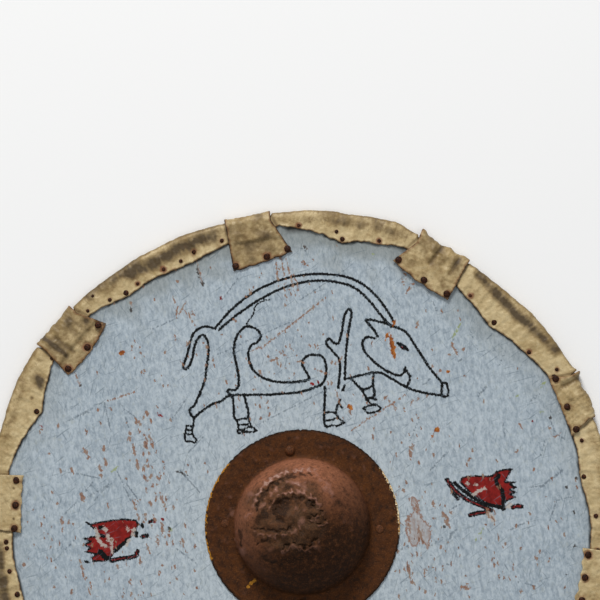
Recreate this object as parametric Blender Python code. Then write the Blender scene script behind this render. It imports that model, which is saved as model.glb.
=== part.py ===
"""A wooden round shield: a painted board, a hammered iron boss, a grip let in behind, and a rawhide rim.

It lies on its back, boss up. Metres, +Z up, origin on the floor under the middle of the board.
A bearing is an angle in degrees, clockwise from +Y as seen from the front.
Run it with: blender --background --python part.py
"""

import math

import bmesh
import bpy

# Clearance between pieces that touch
FIT_GAP = 0.0003

# Board
BOARD_RADIUS = 0.320
BOARD_THICKNESS = 0.010
BOARD_EDGE_ROUND = 0.003
HAND_HOLE_RADIUS = 0.058
BOARD_SIDES = 64
HOLE_SIDES = 28

# Rawhide
RAWHIDE_THICKNESS = 0.0018
JOINT_GAP = 0.0008
FOLD_ANGLES = (36.0, 72.0)
EDGING_BACK_FLAP = 0.024
PATCH_BACK_FLAP = 0.031
STEP_MARGIN = 0.0010
STEP_RAMP = 0.0040
STAY_UP_KNEE = 0.55
JOINT_SHIFT = 0.0065
EDGING_COLUMNS = 8
PATCH_COLUMNS = 4

# Tacks
TACK_HEAD_RADIUS = 0.0037
TACK_HEAD_HEIGHT = 0.0016
TACK_SHANK_RADIUS = 0.0011
TACK_BITE = 0.0065
TACK_ROOM = 0.0055
TACK_SIDES = 6

# Boss
BOSS_CENTRE = (0.0035, 0.0010)
DOME_RADIUS = 0.0695
DOME_HEIGHT = 0.0640
FLANGE_WIDTH = 0.0290
FLANGE_FILLET = 0.0045
BOSS_SHEET = 0.0020
BOSS_OVALITY = 0.0003
DOME_FOOT_ANGLE = 12.0
CROWN_FADE_HEIGHT = 0.026
CROWN_LEAN = (-0.0090, 0.0080)
BOSS_SIDES = 32
DOME_RINGS = 8
FILLET_RINGS = 3

# Boss rivets
RIVET_SHANK_RADIUS = 0.0024
RIVET_FROM_FILLET = 0.0051
RIVET_TAIL_RADIUS = 0.0040
RIVET_TAIL_HEIGHT = 0.0013
RIVET_SIDES = 10
ROVE_HALF_WIDTH = 0.0062
ROVE_THICKNESS = 0.0010

# Grip
GRIP_CLEAR_OF_FLOOR = 0.0010
GRIP_END_THICKNESS = 0.0060
GRIP_END_WIDTH = 0.0340
GRIP_END_MARGIN = 0.0120
HANDLE_THICKNESS = 0.0200
HANDLE_WIDTH = 0.0280
HANDLE_TAPER = 0.0140
HANDLE_HOLE_MARGIN = 0.0060
HANDLE_SQUARENESS = 2.6
GRIP_END_SQUARENESS = 11.6
GRIP_SECTION_POINTS = 12
COUNTERBORE_RADIUS = 0.0055
COUNTERBORE_DEPTH = 0.0030

# Heights of the stack, from the floor up
EDGING_BACK = RAWHIDE_THICKNESS + FIT_GAP
BOARD_BACK = EDGING_BACK + RAWHIDE_THICKNESS + FIT_GAP
BOARD_FRONT = BOARD_BACK + BOARD_THICKNESS
FLANGE_BACK = BOARD_FRONT + FIT_GAP
FLANGE_FRONT = FLANGE_BACK + BOSS_SHEET
GRIP_BACK = GRIP_CLEAR_OF_FLOOR
GRIP_END_FRONT = GRIP_BACK + GRIP_END_THICKNESS

# Sizes that follow from the ones above
FLANGE_RADIUS = DOME_RADIUS + FLANGE_WIDTH
RIVET_CIRCLE = DOME_RADIUS + FLANGE_FILLET + RIVET_FROM_FILLET
GRIP_HALF_LENGTH = RIVET_CIRCLE + GRIP_END_MARGIN
CUT_PAST = 0.002

# Rivets through the flange: bearing round the boss, radius and height of the head. The left and right ones
# also hold the grip, and are hammered nearly flush.
BOARD_RIVETS = (("top", -9.2, 0.0056, 0.0040), ("bottom", 180.0, 0.0052, 0.0034))
GRIP_RIVETS = (("left", -88.0, 0.0045, 0.0010), ("right", 92.0, 0.0045, 0.0010))

# Battered crown of the dome: east and north of the boss centre, spread, and height of each dent or lump
CROWN_LUMPS = (
    (-0.008, 0.015, 0.016, -0.0026),
    (0.014, 0.020, 0.009, 0.0012),
    (-0.034, 0.038, 0.012, 0.0014),
    (-0.004, -0.024, 0.013, 0.0013),
    (0.020, -0.006, 0.011, -0.0012),
    (-0.050, -0.012, 0.010, -0.0014),
)

# Patches over the edging's joints: bearing, width at the rim, width at the inner end, lean of the inner end
# clockwise, and how far the anticlockwise corner, the middle and the clockwise corner reach onto the face
PATCHES = (
    ("patch_1", -9.5, 0.0475, 0.063, 0.0087, (0.0490, 0.0455, 0.0370)),
    ("patch_2", 27.6, 0.057, 0.069, -0.007, (0.0295, 0.0400, 0.0410)),
    ("patch_3", 65.2, 0.049, 0.066, 0.000, (0.0215, 0.0245, 0.0245)),
    ("patch_4", 99.8, 0.060, 0.058, 0.000, (0.0280, 0.0275, 0.0285)),
    ("patch_5", 136.0, 0.052, 0.060, 0.003, (0.0350, 0.0380, 0.0330)),
    ("patch_6", 171.0, 0.055, 0.058, -0.004, (0.0330, 0.0370, 0.0400)),
    ("patch_7", 207.0, 0.050, 0.062, 0.002, (0.0410, 0.0390, 0.0340)),
    ("patch_8", 241.5, 0.054, 0.057, 0.000, (0.0320, 0.0360, 0.0350)),
    ("patch_9", 274.8, 0.056, 0.059, 0.000, (0.0355, 0.0345, 0.0325)),
    ("patch_10", 309.4, 0.051, 0.066, 0.003, (0.0365, 0.0400, 0.0320)),
)

# Tacks of each patch: share of the way across it, and inset from its inner end
TACKS = {
    "patch_1": ((0.045, 0.0048), (0.590, 0.0042), (0.955, 0.0042)),
    "patch_2": ((0.045, 0.0042), (0.535, 0.0048), (0.940, 0.0048)),
    "patch_3": ((0.050, 0.0060), (0.555, 0.0060), (0.955, 0.0060)),
    "patch_4": ((0.110, 0.0048), (0.515, 0.0046), (0.910, 0.0070)),
    "patch_5": ((0.070, 0.0052), (0.490, 0.0050), (0.930, 0.0056)),
    "patch_6": ((0.085, 0.0056), (0.520, 0.0050), (0.915, 0.0052)),
    "patch_7": ((0.060, 0.0050), (0.500, 0.0054), (0.930, 0.0058)),
    "patch_8": ((0.090, 0.0054), (0.510, 0.0050), (0.920, 0.0054)),
    "patch_9": ((0.060, 0.0070), (0.470, 0.0058), (0.905, 0.0066)),
    "patch_10": ((0.070, 0.0052), (0.535, 0.0050), (0.925, 0.0062)),
}

# Hand-cut inner line of each edging strip, numbered with the patch that it starts under, as knots of: share of
# the way to the next patch, flap onto the face, and how far the fold stands off the board's rim
EDGING = {
    "edging_1": (
        (0.00, 0.0150, 0.0010), (0.25, 0.0155, 0.0030), (0.42, 0.0215, 0.0036), (0.49, 0.0255, 0.0042),
        (0.56, 0.0205, 0.0048), (0.66, 0.0195, 0.0058), (0.80, 0.0150, 0.0042), (0.89, 0.0145, 0.0012),
        (1.00, 0.0140, 0.0010),
    ),
    "edging_2": (
        (0.00, 0.0200, 0.0010), (0.17, 0.0255, 0.0004), (0.30, 0.0310, 0.0004), (0.43, 0.0370, 0.0012),
        (0.56, 0.0330, 0.0022), (0.70, 0.0270, 0.0030), (0.84, 0.0225, 0.0032), (1.00, 0.0190, 0.0010),
    ),
    "edging_3": (
        (0.00, 0.0190, 0.0010), (0.18, 0.0245, 0.0022), (0.32, 0.0260, 0.0018), (0.43, 0.0305, 0.0014),
        (0.56, 0.0250, 0.0014), (0.72, 0.0220, 0.0018), (0.84, 0.0205, 0.0020), (1.00, 0.0190, 0.0010),
    ),
    "edging_4": (
        (0.00, 0.0190, 0.0010), (0.25, 0.0225, 0.0016), (0.45, 0.0290, 0.0026), (0.70, 0.0225, 0.0014),
        (1.00, 0.0180, 0.0008),
    ),
    "edging_5": (
        (0.00, 0.0180, 0.0008), (0.28, 0.0230, 0.0020), (0.55, 0.0310, 0.0014), (0.78, 0.0225, 0.0022),
        (1.00, 0.0175, 0.0008),
    ),
    "edging_6": (
        (0.00, 0.0175, 0.0008), (0.30, 0.0285, 0.0012), (0.50, 0.0240, 0.0024), (0.74, 0.0270, 0.0016),
        (1.00, 0.0180, 0.0008),
    ),
    "edging_7": (
        (0.00, 0.0180, 0.0008), (0.26, 0.0220, 0.0018), (0.52, 0.0295, 0.0022), (0.76, 0.0215, 0.0010),
        (1.00, 0.0175, 0.0008),
    ),
    "edging_8": (
        (0.00, 0.0175, 0.0008), (0.22, 0.0225, 0.0014), (0.45, 0.0305, 0.0020), (0.66, 0.0250, 0.0016),
        (0.82, 0.0240, 0.0014), (1.00, 0.0190, 0.0010),
    ),
    "edging_9": (
        (0.00, 0.0185, 0.0010), (0.18, 0.0215, 0.0018), (0.36, 0.0270, 0.0022), (0.55, 0.0325, 0.0026),
        (0.68, 0.0255, 0.0032), (0.84, 0.0185, 0.0030), (1.00, 0.0150, 0.0012),
    ),
    "edging_10": (
        (0.00, 0.0150, 0.0012), (0.16, 0.0145, 0.0016), (0.32, 0.0235, 0.0008), (0.50, 0.0230, 0.0004),
        (0.68, 0.0240, 0.0004), (0.86, 0.0190, 0.0006), (1.00, 0.0150, 0.0010),
    ),
}

FINISHES = {
    "painted_wood": ((0.36, 0.44, 0.49), 0.62, 0.0),
    "bare_wood": ((0.42, 0.28, 0.16), 0.60, 0.0),
    "rawhide": ((0.47, 0.37, 0.20), 0.45, 0.0),
    "rusty_iron": ((0.10, 0.045, 0.025), 0.62, 0.6),
    "dark_iron": ((0.035, 0.025, 0.022), 0.50, 0.7),
}


def finish_of(name):
    """The material of that name, made the first time it is asked for."""
    found = bpy.data.materials.get(name)
    if found:
        return found
    colour, roughness, metallic = FINISHES[name]
    made = bpy.data.materials.new(name)
    made.use_nodes = True
    shader = made.node_tree.nodes["Principled BSDF"]
    shader.inputs["Base Color"].default_value = (*colour, 1.0)
    shader.inputs["Roughness"].default_value = roughness
    shader.inputs["Metallic"].default_value = metallic
    return made


def linked(name, points, faces, finish=None, smooth_below=None):
    """An object made of points and faces, with its normals pointing out."""
    mesh = bpy.data.meshes.new(name)
    shape = bmesh.new()
    corners = [shape.verts.new(p) for p in points]
    for face in faces:
        shape.faces.new([corners[i] for i in face])
    bmesh.ops.recalc_face_normals(shape, faces=shape.faces)
    shape.to_mesh(mesh)
    shape.free()
    made = bpy.data.objects.new(name, mesh)
    bpy.context.scene.collection.objects.link(made)
    if finish:
        mesh.materials.append(finish_of(finish))
    if smooth_below:
        mesh.shade_smooth()
        mesh.set_sharp_from_angle(angle=math.radians(smooth_below))
    return made


def as_cutter(made):
    """Marks an object as a tool that only cuts others."""
    made.hide_render = True
    made.display_type = "WIRE"
    return made


def cut(piece, cutter):
    """Cuts a piece by a cutter with an exact Boolean."""
    step = piece.modifiers.new("cut_" + cutter.name, "BOOLEAN")
    step.operation = "DIFFERENCE"
    step.solver = "EXACT"
    step.object = cutter


def at_bearing(bearing, radius, height):
    """The point at a bearing and a radius from the middle of the board."""
    angle = math.radians(bearing)
    return (radius * math.sin(angle), radius * math.cos(angle), height)


def turned(profile, sides, centre=(0.0, 0.0), shape=None):
    """Points and faces of a profile turned about a vertical axis.

    The profile is a list of (radius, height) from the axis at one end to the axis at the other, or a closed
    loop when no end lies on the axis. shape moves each point: (east, north, height) to the same.
    """
    points = []
    rings = []
    for radius, height in profile:
        if radius < 1e-9:
            rings.append([len(points)])
            points.append((0.0, 0.0, height))
            continue
        rings.append(list(range(len(points), len(points) + sides)))
        for i in range(sides):
            angle = 2 * math.pi * i / sides
            points.append((radius * math.cos(angle), radius * math.sin(angle), height))
    if shape:
        points = [shape(*p) for p in points]
    points = [(x + centre[0], y + centre[1], z) for x, y, z in points]
    closed = len(rings[0]) > 1 and len(rings[-1]) > 1
    pairs = list(zip(rings, rings[1:] + rings[:1] if closed else rings[1:]))
    faces = []
    for low, high in pairs:
        for i in range(sides):
            j = (i + 1) % sides
            if len(low) == 1:
                faces.append((low[0], high[i], high[j]))
            elif len(high) == 1:
                faces.append((low[i], high[0], low[j]))
            else:
                faces.append((low[i], high[i], high[j], low[j]))
    return points, faces


def joined(parts):
    """Several sets of points and faces as one set."""
    points = []
    faces = []
    for more_points, more_faces in parts:
        start = len(points)
        points.extend(more_points)
        faces.extend(tuple(i + start for i in face) for face in more_faces)
    return points, faces


def sheet_solid(name, outer, inner):
    """A bent sheet between two grids of points, outer and inner, each a list of columns."""
    columns = len(outer)
    rows = len(outer[0])
    points = [p for column in outer for p in column] + [p for column in inner for p in column]
    below = columns * rows
    faces = []

    def at(column, row):
        return column * rows + row

    for c in range(columns - 1):
        for r in range(rows - 1):
            quad = (at(c, r), at(c + 1, r), at(c + 1, r + 1), at(c, r + 1))
            faces.append(quad)
            faces.append(tuple(below + i for i in reversed(quad)))
        for r in (0, rows - 1):
            faces.append((at(c, r), at(c + 1, r), below + at(c + 1, r), below + at(c, r)))
    for r in range(rows - 1):
        for c in (0, columns - 1):
            faces.append((at(c, r), at(c, r + 1), below + at(c, r + 1), below + at(c, r)))
    return linked(name, points, faces, "rawhide", 40)


def eased(knots, share):
    """Values at a share along knots of (share, value, value), by half a cosine wave from each to the next."""
    for low, high in zip(knots, knots[1:]):
        if share <= high[0]:
            t = max(0.0, (share - low[0]) / (high[0] - low[0]))
            t = (1 - math.cos(math.pi * t)) / 2
            return tuple(a + (b - a) * t for a, b in zip(low[1:], high[1:]))
    return knots[-1][1:]


def rim_wrap(off_board, swell):
    """Points (radius, height) of a sheet's fold round the board's rim, that far off it, front to back."""
    reach = BOARD_EDGE_ROUND + off_board
    middle = BOARD_RADIUS - BOARD_EDGE_ROUND
    front = []
    for angle in map(math.radians, FOLD_ANGLES):
        height = BOARD_FRONT - BOARD_EDGE_ROUND + reach * math.cos(angle)
        front.append((middle + reach * math.sin(angle) + swell, height))
    back = [(radius, BOARD_FRONT + BOARD_BACK - height) for radius, height in reversed(front)]
    return front + back


def patch_at(index):
    """The patch of that number, counted on round the rim, and the turns in degrees to add to its bearing."""
    turns, place = divmod(index, len(PATCHES))
    return PATCHES[place], 360.0 * turns


def joint_bearing(index):
    """The bearing of the edging's joint, under a patch and between two of its tacks."""
    patch, turn = patch_at(index)
    return patch[1] + turn + math.degrees(JOINT_SHIFT / BOARD_RADIUS)


def edging_at(index, bearing):
    """Flap and swell of one edging strip at a bearing."""
    start, end = joint_bearing(index), joint_bearing(index + 1)
    return eased(EDGING[f"edging_{index % len(EDGING) + 1}"], (bearing - start) / (end - start))


def edging_strip(index):
    """One strip of edging, from patch to patch: a flap on the face, a fold round the rim, a flap behind."""
    half_gap = math.degrees(JOINT_GAP / 2 / BOARD_RADIUS)
    start, end = joint_bearing(index) + half_gap, joint_bearing(index + 1) - half_gap
    sides = []
    for off_board in (FIT_GAP + RAWHIDE_THICKNESS, FIT_GAP):
        grid = []
        for c in range(EDGING_COLUMNS + 1):
            bearing = start + (end - start) * c / EDGING_COLUMNS
            flap, swell = edging_at(index, bearing)
            path = [(BOARD_RADIUS - flap, BOARD_FRONT + off_board)]
            path.append((BOARD_RADIUS - BOARD_EDGE_ROUND, BOARD_FRONT + off_board))
            path.extend(rim_wrap(off_board, swell))
            path.append((BOARD_RADIUS - BOARD_EDGE_ROUND, BOARD_BACK - off_board))
            path.append((BOARD_RADIUS - EDGING_BACK_FLAP, BOARD_BACK - off_board))
            grid.append([at_bearing(bearing, radius, height) for radius, height in path])
        sides.append(grid)
    return sheet_solid(f"edging_{index + 1}", *sides)


def patch_reach(patch, across):
    """How far a patch reaches onto the face, at a share across it: a parabola through its three reaches."""
    left, middle, right = patch[5]
    ends = left * (1 - across) * (1 - 2 * across) + right * across * (2 * across - 1)
    return ends + middle * 4 * across * (1 - across)


def patch_bearing(patch, across, depth):
    """The bearing of a point of a patch: the sides run straight from the rim to the inner end."""
    _, bearing, rim_width, inner_width, lean, _ = patch
    share = max(0.0, min(1.0, depth / patch_reach(patch, across)))
    width = rim_width + (inner_width - rim_width) * share
    return bearing + math.degrees(((across - 0.5) * width + lean * share) / (BOARD_RADIUS - depth))


def under_patch(index):
    """The widest edging flap and the largest swell under a patch."""
    found = []
    patch = PATCHES[index]
    for across in (0.0, 0.25, 0.5, 0.75, 1.0):
        for depth in (0.0, patch_reach(patch, across)):
            bearing = patch_bearing(patch, across, depth)
            strip = index if bearing >= joint_bearing(index) else index - 1
            if strip < 0:
                strip += len(EDGING)
                bearing += 360.0
            found.append(edging_at(strip, bearing))
    return max(flap for flap, _ in found), max(swell for _, swell in found)


def patch_step(index, across):
    """Depth from the rim where a patch steps down from the edging to the board, or None if it stays up."""
    step = under_patch(index)[0] + STEP_MARGIN
    room = patch_reach(PATCHES[index], across) - step - STEP_RAMP
    return step if room > TACK_ROOM else None


def patch_steps(index):
    """Where the whole patch steps down, or None if any part of it has no room to."""
    steps = [patch_step(index, across) for across in (0.0, 0.5, 1.0)]
    return None if None in steps else steps[0]


def patch(index):
    """A patch: it lies on the edging, steps down to the board past it, and folds round the rim."""
    this = PATCHES[index]
    swell = under_patch(index)[1]
    step = patch_steps(index)
    low = FIT_GAP
    high = FIT_GAP + RAWHIDE_THICKNESS + FIT_GAP
    sides = []
    for thickness in (RAWHIDE_THICKNESS, 0.0):
        grid = []
        for c in range(PATCH_COLUMNS + 1):
            across = c / PATCH_COLUMNS
            reach = patch_reach(this, across)
            if step is None:
                face = [(reach, high), (reach * STAY_UP_KNEE, high)]
            else:
                face = [(reach, low), (step + STEP_RAMP, low), (step, high)]
            column = []
            for depth, level in face + [(BOARD_EDGE_ROUND, high)]:
                bearing = patch_bearing(this, across, depth)
                column.append(at_bearing(bearing, BOARD_RADIUS - depth, BOARD_FRONT + level + thickness))
            rim_bearing = patch_bearing(this, across, 0.0)
            for radius, height in rim_wrap(high + thickness, swell):
                column.append(at_bearing(rim_bearing, radius, height))
            for depth in (BOARD_EDGE_ROUND, PATCH_BACK_FLAP):
                column.append(at_bearing(rim_bearing, BOARD_RADIUS - depth, BOARD_BACK - high - thickness))
            grid.append(column)
        sides.append(grid)
    return sheet_solid(this[0], *sides)


def tack_places():
    """Name, bearing, radius and height under the head of three tacks along each patch's inner end."""
    places = []
    for index, this in enumerate(PATCHES):
        step = patch_steps(index)
        for number, (across, inset) in enumerate(TACKS[this[0]], 1):
            depth = patch_reach(this, across) - inset
            on_edging = step is None or depth - TACK_HEAD_RADIUS < step + STEP_RAMP
            level = RAWHIDE_THICKNESS * (2 if on_edging else 1) + FIT_GAP * (2 if on_edging else 1)
            bearing = patch_bearing(this, across, depth)
            places.append((f"tack_{index + 1}_{number}", bearing, BOARD_RADIUS - depth, BOARD_FRONT + level))
    return places


def tack_profile(top, shank_radius, tip):
    """Half a tack, crown to point: a domed head on a tapered shank."""
    return [
        (0.0, top + FIT_GAP + TACK_HEAD_HEIGHT),
        (TACK_HEAD_RADIUS * 0.62, top + FIT_GAP + TACK_HEAD_HEIGHT * 0.72),
        (TACK_HEAD_RADIUS, top + FIT_GAP),
        (shank_radius, top + FIT_GAP),
        (0.0, tip),
    ]


def tacks():
    """The tacks, and one cutter that holds the hole of each."""
    holes = []
    tip = BOARD_FRONT - TACK_BITE
    for name, bearing, radius, top in tack_places():
        centre = at_bearing(bearing, radius, 0.0)[:2]
        linked(name, *turned(tack_profile(top, TACK_SHANK_RADIUS, tip), TACK_SIDES, centre), "dark_iron", 35)
        length = top + FIT_GAP - tip
        wide = (TACK_SHANK_RADIUS + FIT_GAP) * (length + CUT_PAST) / length
        hole = [(0.0, top + CUT_PAST), (wide, top + CUT_PAST), (0.0, tip - 2 * FIT_GAP)]
        holes.append(turned(hole, TACK_SIDES, centre))
    return as_cutter(linked("tack_holes", *joined(holes)))


def boss_shape(flat):
    """Moves a turned point of the boss: the flange is a little oval, and the crown leans and is battered."""

    def moved(east, north, height):
        radius = math.hypot(east, north)
        if radius > 1e-9:
            outward = max(0.0, min(1.0, (radius - DOME_RADIUS) / FLANGE_WIDTH))
            oval = outward * BOSS_OVALITY * (east * east - north * north) / (radius * radius)
            east, north = east * (1 + oval / radius), north * (1 + oval / radius)
        risen = max(0.0, min(1.0, (height - flat) / CROWN_FADE_HEIGHT))
        lean = max(0.0, (height - flat) / DOME_HEIGHT) ** 2
        east, north = east + CROWN_LEAN[0] * lean, north + CROWN_LEAN[1] * lean
        lumps = sum(
            rise * math.exp(-((east - x) ** 2 + (north - y) ** 2) / (2 * spread**2))
            for x, y, spread, rise in CROWN_LUMPS
        )
        return (east, north, height + lumps * risen)

    return moved


def boss_line():
    """Outer line of the boss, crown to flange edge: (radius, height, outward radius, outward height)."""
    line = []
    for i in range(DOME_RINGS):
        a = math.radians(90 - (90 - DOME_FOOT_ANGLE) * i / (DOME_RINGS - 1))
        out = (math.cos(a) / DOME_RADIUS, math.sin(a) / DOME_HEIGHT)
        size = math.hypot(*out)
        place = (DOME_RADIUS * math.cos(a), FLANGE_FRONT + DOME_HEIGHT * math.sin(a))
        line.append((*place, out[0] / size, out[1] / size))
    for i in range(FILLET_RINGS):
        a = math.radians(DOME_FOOT_ANGLE + (90 - DOME_FOOT_ANGLE) * i / (FILLET_RINGS - 1))
        line.append((
            DOME_RADIUS + FLANGE_FILLET * (1 - math.cos(a)),
            FLANGE_FRONT + FLANGE_FILLET * (1 - math.sin(a)),
            math.cos(a),
            math.sin(a),
        ))
    line.append((FLANGE_RADIUS, FLANGE_FRONT, 0.0, 1.0))
    return line


def boss():
    """The boss: one dished sheet of iron, with the outer line set in by the sheet to give the inner one."""
    line = boss_line()
    outer = [(max(0.0, radius), height) for radius, height, _, _ in line]
    inner = [
        (max(0.0, radius - BOSS_SHEET * out), height - BOSS_SHEET * up)
        for radius, height, out, up in reversed(line)
    ]
    outer[0] = (0.0, outer[0][1])
    inner[-1] = (0.0, inner[-1][1])
    points, faces = turned(outer + inner, BOSS_SIDES, BOSS_CENTRE, boss_shape(FLANGE_FRONT))
    return linked("boss", points, faces, "rusty_iron", 40)


def rivet_centre(bearing):
    """East and north of a rivet on the flange."""
    east, north, _ = at_bearing(bearing, RIVET_CIRCLE, 0.0)
    return (east + BOSS_CENTRE[0], north + BOSS_CENTRE[1])


def rivet(name, bearing, head_radius, head_height, tail_top):
    """A rivet: a domed head on the flange, a shank, and a hammered tail whose upper face is at tail_top."""
    head = FLANGE_FRONT + FIT_GAP
    tail = tail_top - FIT_GAP
    profile = [
        (0.0, head + head_height),
        (head_radius * 0.60, head + head_height * 0.80),
        (head_radius, head + head_height * 0.20),
        (head_radius, head),
        (RIVET_SHANK_RADIUS, head),
        (RIVET_SHANK_RADIUS, tail),
        (RIVET_TAIL_RADIUS, tail),
        (RIVET_TAIL_RADIUS * 0.8, tail - RIVET_TAIL_HEIGHT),
        (0.0, tail - RIVET_TAIL_HEIGHT),
    ]
    return linked(name, *turned(profile, RIVET_SIDES, rivet_centre(bearing)), "rusty_iron", 35)


def column(radius, low, high, centre, sides):
    """A plain upright cylinder, as points and faces."""
    return turned([(0.0, high), (radius, high), (radius, low), (0.0, low)], sides, centre)


def block(east, north, half_length, half_width, low, high):
    """A plain block, as points and faces."""
    corners = [(-half_length, -half_width), (half_length, -half_width), (half_length, half_width)]
    corners.append((-half_length, half_width))
    points = [(east + x, north + y, height) for height in (low, high) for x, y in corners]
    faces = [(0, 1, 2, 3), (4, 5, 6, 7)] + [(i, (i + 1) % 4, 4 + (i + 1) % 4, 4 + i) for i in range(4)]
    return points, faces


def rivet_holes():
    """One cutter with the shank hole of every rivet, from above the flange to below the board."""
    wide, top = RIVET_SHANK_RADIUS + FIT_GAP, FLANGE_FRONT + CUT_PAST
    holes = [
        column(wide, -CUT_PAST, top, rivet_centre(bearing), RIVET_SIDES)
        for _, bearing, _, _ in BOARD_RIVETS + GRIP_RIVETS
    ]
    return as_cutter(linked("rivet_holes", *joined(holes)))


def rove(name, bearing):
    """A square washer under a rivet's tail, on the board's back."""
    x, y = rivet_centre(bearing)
    top = BOARD_BACK - FIT_GAP
    plate = block(x, y, ROVE_HALF_WIDTH, ROVE_HALF_WIDTH, top - ROVE_THICKNESS, top)
    made = linked(name, *plate, "rusty_iron")
    wide, low = RIVET_SHANK_RADIUS + FIT_GAP, top - ROVE_THICKNESS - CUT_PAST
    hole = column(wide, low, top + CUT_PAST, (x, y), RIVET_SIDES)
    cut(made, as_cutter(linked(name + "_hole", *hole)))
    return made


def grip_sections():
    """Stations along the grip: east of the boss centre, half width, front height, and squareness."""
    shoulder = HAND_HOLE_RADIUS - HANDLE_HOLE_MARGIN
    handle = shoulder - HANDLE_TAPER
    steps = [(handle * i / 3, 0.0) for i in range(4)]
    steps += [(handle + HANDLE_TAPER * i / 4, i / 4) for i in range(1, 5)]
    steps.append((GRIP_HALF_LENGTH, 1.0))
    half = []
    for east, share in steps:
        ease = (1 - math.cos(math.pi * share)) / 2
        half.append((
            east,
            (HANDLE_WIDTH + (GRIP_END_WIDTH - HANDLE_WIDTH) * ease) / 2,
            GRIP_BACK + HANDLE_THICKNESS + (GRIP_END_THICKNESS - HANDLE_THICKNESS) * ease,
            HANDLE_SQUARENESS + (GRIP_END_SQUARENESS - HANDLE_SQUARENESS) * ease,
        ))
    return [(-e, w, f, s) for e, w, f, s in reversed(half[1:])] + half


def grip():
    """The grip: a wooden bar across the hand hole, an oval handle with flat ends let into the board."""
    points = []
    stations = grip_sections()
    count = GRIP_SECTION_POINTS
    for east, half_width, front, square in stations:
        middle, rise = (GRIP_BACK + front) / 2, (front - GRIP_BACK) / 2
        for i in range(count):
            a = 2 * math.pi * (i + 0.5) / count
            c, s = math.cos(a), math.sin(a)
            power = 2 / square
            points.append((
                BOSS_CENTRE[0] + east,
                BOSS_CENTRE[1] + half_width * math.copysign(abs(c) ** power, c),
                middle + rise * math.copysign(abs(s) ** power, s),
            ))
    faces = [tuple(range(count)), tuple(range((len(stations) - 1) * count, len(stations) * count))]
    for k in range(len(stations) - 1):
        for i in range(count):
            j = (i + 1) % count
            faces.append((k * count + i, k * count + j, (k + 1) * count + j, (k + 1) * count + i))
    made = linked("grip", points, faces, "bare_wood", 40)
    floor = GRIP_BACK + COUNTERBORE_DEPTH
    bores = [
        column(COUNTERBORE_RADIUS, -CUT_PAST, floor, rivet_centre(bearing), RIVET_SIDES)
        for _, bearing, _, _ in GRIP_RIVETS
    ]
    cut(made, as_cutter(linked("counterbores", *joined(bores))))
    return made


def grip_pocket():
    """The recess in the board's back that takes the grip's flat ends."""
    east, north = BOSS_CENTRE
    half_length = GRIP_HALF_LENGTH + FIT_GAP
    half_width = GRIP_END_WIDTH / 2 + FIT_GAP
    low, high = BOARD_BACK - CUT_PAST, GRIP_END_FRONT + FIT_GAP
    return as_cutter(linked("grip_pocket", *block(east, north, half_length, half_width, low, high)))


def board():
    """The board: a disc with rounded edges and a hand hole behind the boss."""
    rounded = [
        (BOARD_RADIUS - BOARD_EDGE_ROUND * (1 - math.sin(a)), BOARD_EDGE_ROUND * (1 - math.cos(a)))
        for a in (0.0, math.pi / 4, math.pi / 2)
    ]
    profile = [(0.0, BOARD_FRONT)]
    profile += [(radius, BOARD_FRONT - drop) for radius, drop in rounded]
    profile += [(radius, BOARD_BACK + drop) for radius, drop in reversed(rounded)]
    profile.append((0.0, BOARD_BACK))
    made = linked("board", *turned(profile, BOARD_SIDES), "painted_wood", 35)
    hole = column(HAND_HOLE_RADIUS, BOARD_BACK - CUT_PAST, BOARD_FRONT + CUT_PAST, BOSS_CENTRE, HOLE_SIDES)
    cut(made, as_cutter(linked("hand_hole", *hole)))
    cut(made, grip_pocket())
    return made


def main():
    """Builds the shield from the board outwards."""
    for old in list(bpy.data.objects):
        bpy.data.objects.remove(old)
    face = board()
    dome = boss()
    handle = grip()
    shank_holes = rivet_holes()
    for piece in (face, dome, handle):
        cut(piece, shank_holes)
    for name, bearing, head_radius, head_height in BOARD_RIVETS:
        rove("rove_" + name, bearing)
        tail_top = BOARD_BACK - FIT_GAP - ROVE_THICKNESS
        rivet("boss_rivet_" + name, bearing, head_radius, head_height, tail_top)
    for name, bearing, head_radius, head_height in GRIP_RIVETS:
        tail_top = GRIP_BACK + COUNTERBORE_DEPTH
        rivet("boss_rivet_" + name, bearing, head_radius, head_height, tail_top)
    nail_holes = tacks()
    cut(face, nail_holes)
    for index in range(len(PATCHES)):
        cut(patch(index), nail_holes)
        cut(edging_strip(index), nail_holes)


main()
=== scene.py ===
"""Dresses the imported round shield: painted plywood, a hammered rusty boss, and dried rawhide nailed round the
rim.

The shield lies on its back. Bearings are in degrees, clockwise from +Y as seen from the front. Every new
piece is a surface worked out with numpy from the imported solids, from a few sizes in millimetres, and from
places that were read off the photograph.
"""

import math

import bmesh
import bpy
import numpy as np
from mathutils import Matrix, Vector


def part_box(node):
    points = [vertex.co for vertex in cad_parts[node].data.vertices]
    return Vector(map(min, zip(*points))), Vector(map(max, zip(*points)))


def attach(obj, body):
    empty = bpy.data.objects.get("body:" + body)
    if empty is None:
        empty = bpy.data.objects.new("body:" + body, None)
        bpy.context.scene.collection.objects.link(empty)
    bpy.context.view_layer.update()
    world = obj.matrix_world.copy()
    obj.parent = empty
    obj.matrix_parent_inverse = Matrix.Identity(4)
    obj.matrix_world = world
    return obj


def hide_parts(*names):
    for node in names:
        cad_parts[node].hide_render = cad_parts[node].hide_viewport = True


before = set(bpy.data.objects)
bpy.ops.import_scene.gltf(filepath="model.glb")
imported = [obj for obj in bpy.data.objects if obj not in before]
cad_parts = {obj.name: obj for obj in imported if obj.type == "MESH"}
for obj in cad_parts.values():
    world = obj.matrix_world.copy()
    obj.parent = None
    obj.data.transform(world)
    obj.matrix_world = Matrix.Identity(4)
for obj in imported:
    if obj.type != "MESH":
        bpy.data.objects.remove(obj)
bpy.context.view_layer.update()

MM = 0.001
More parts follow.
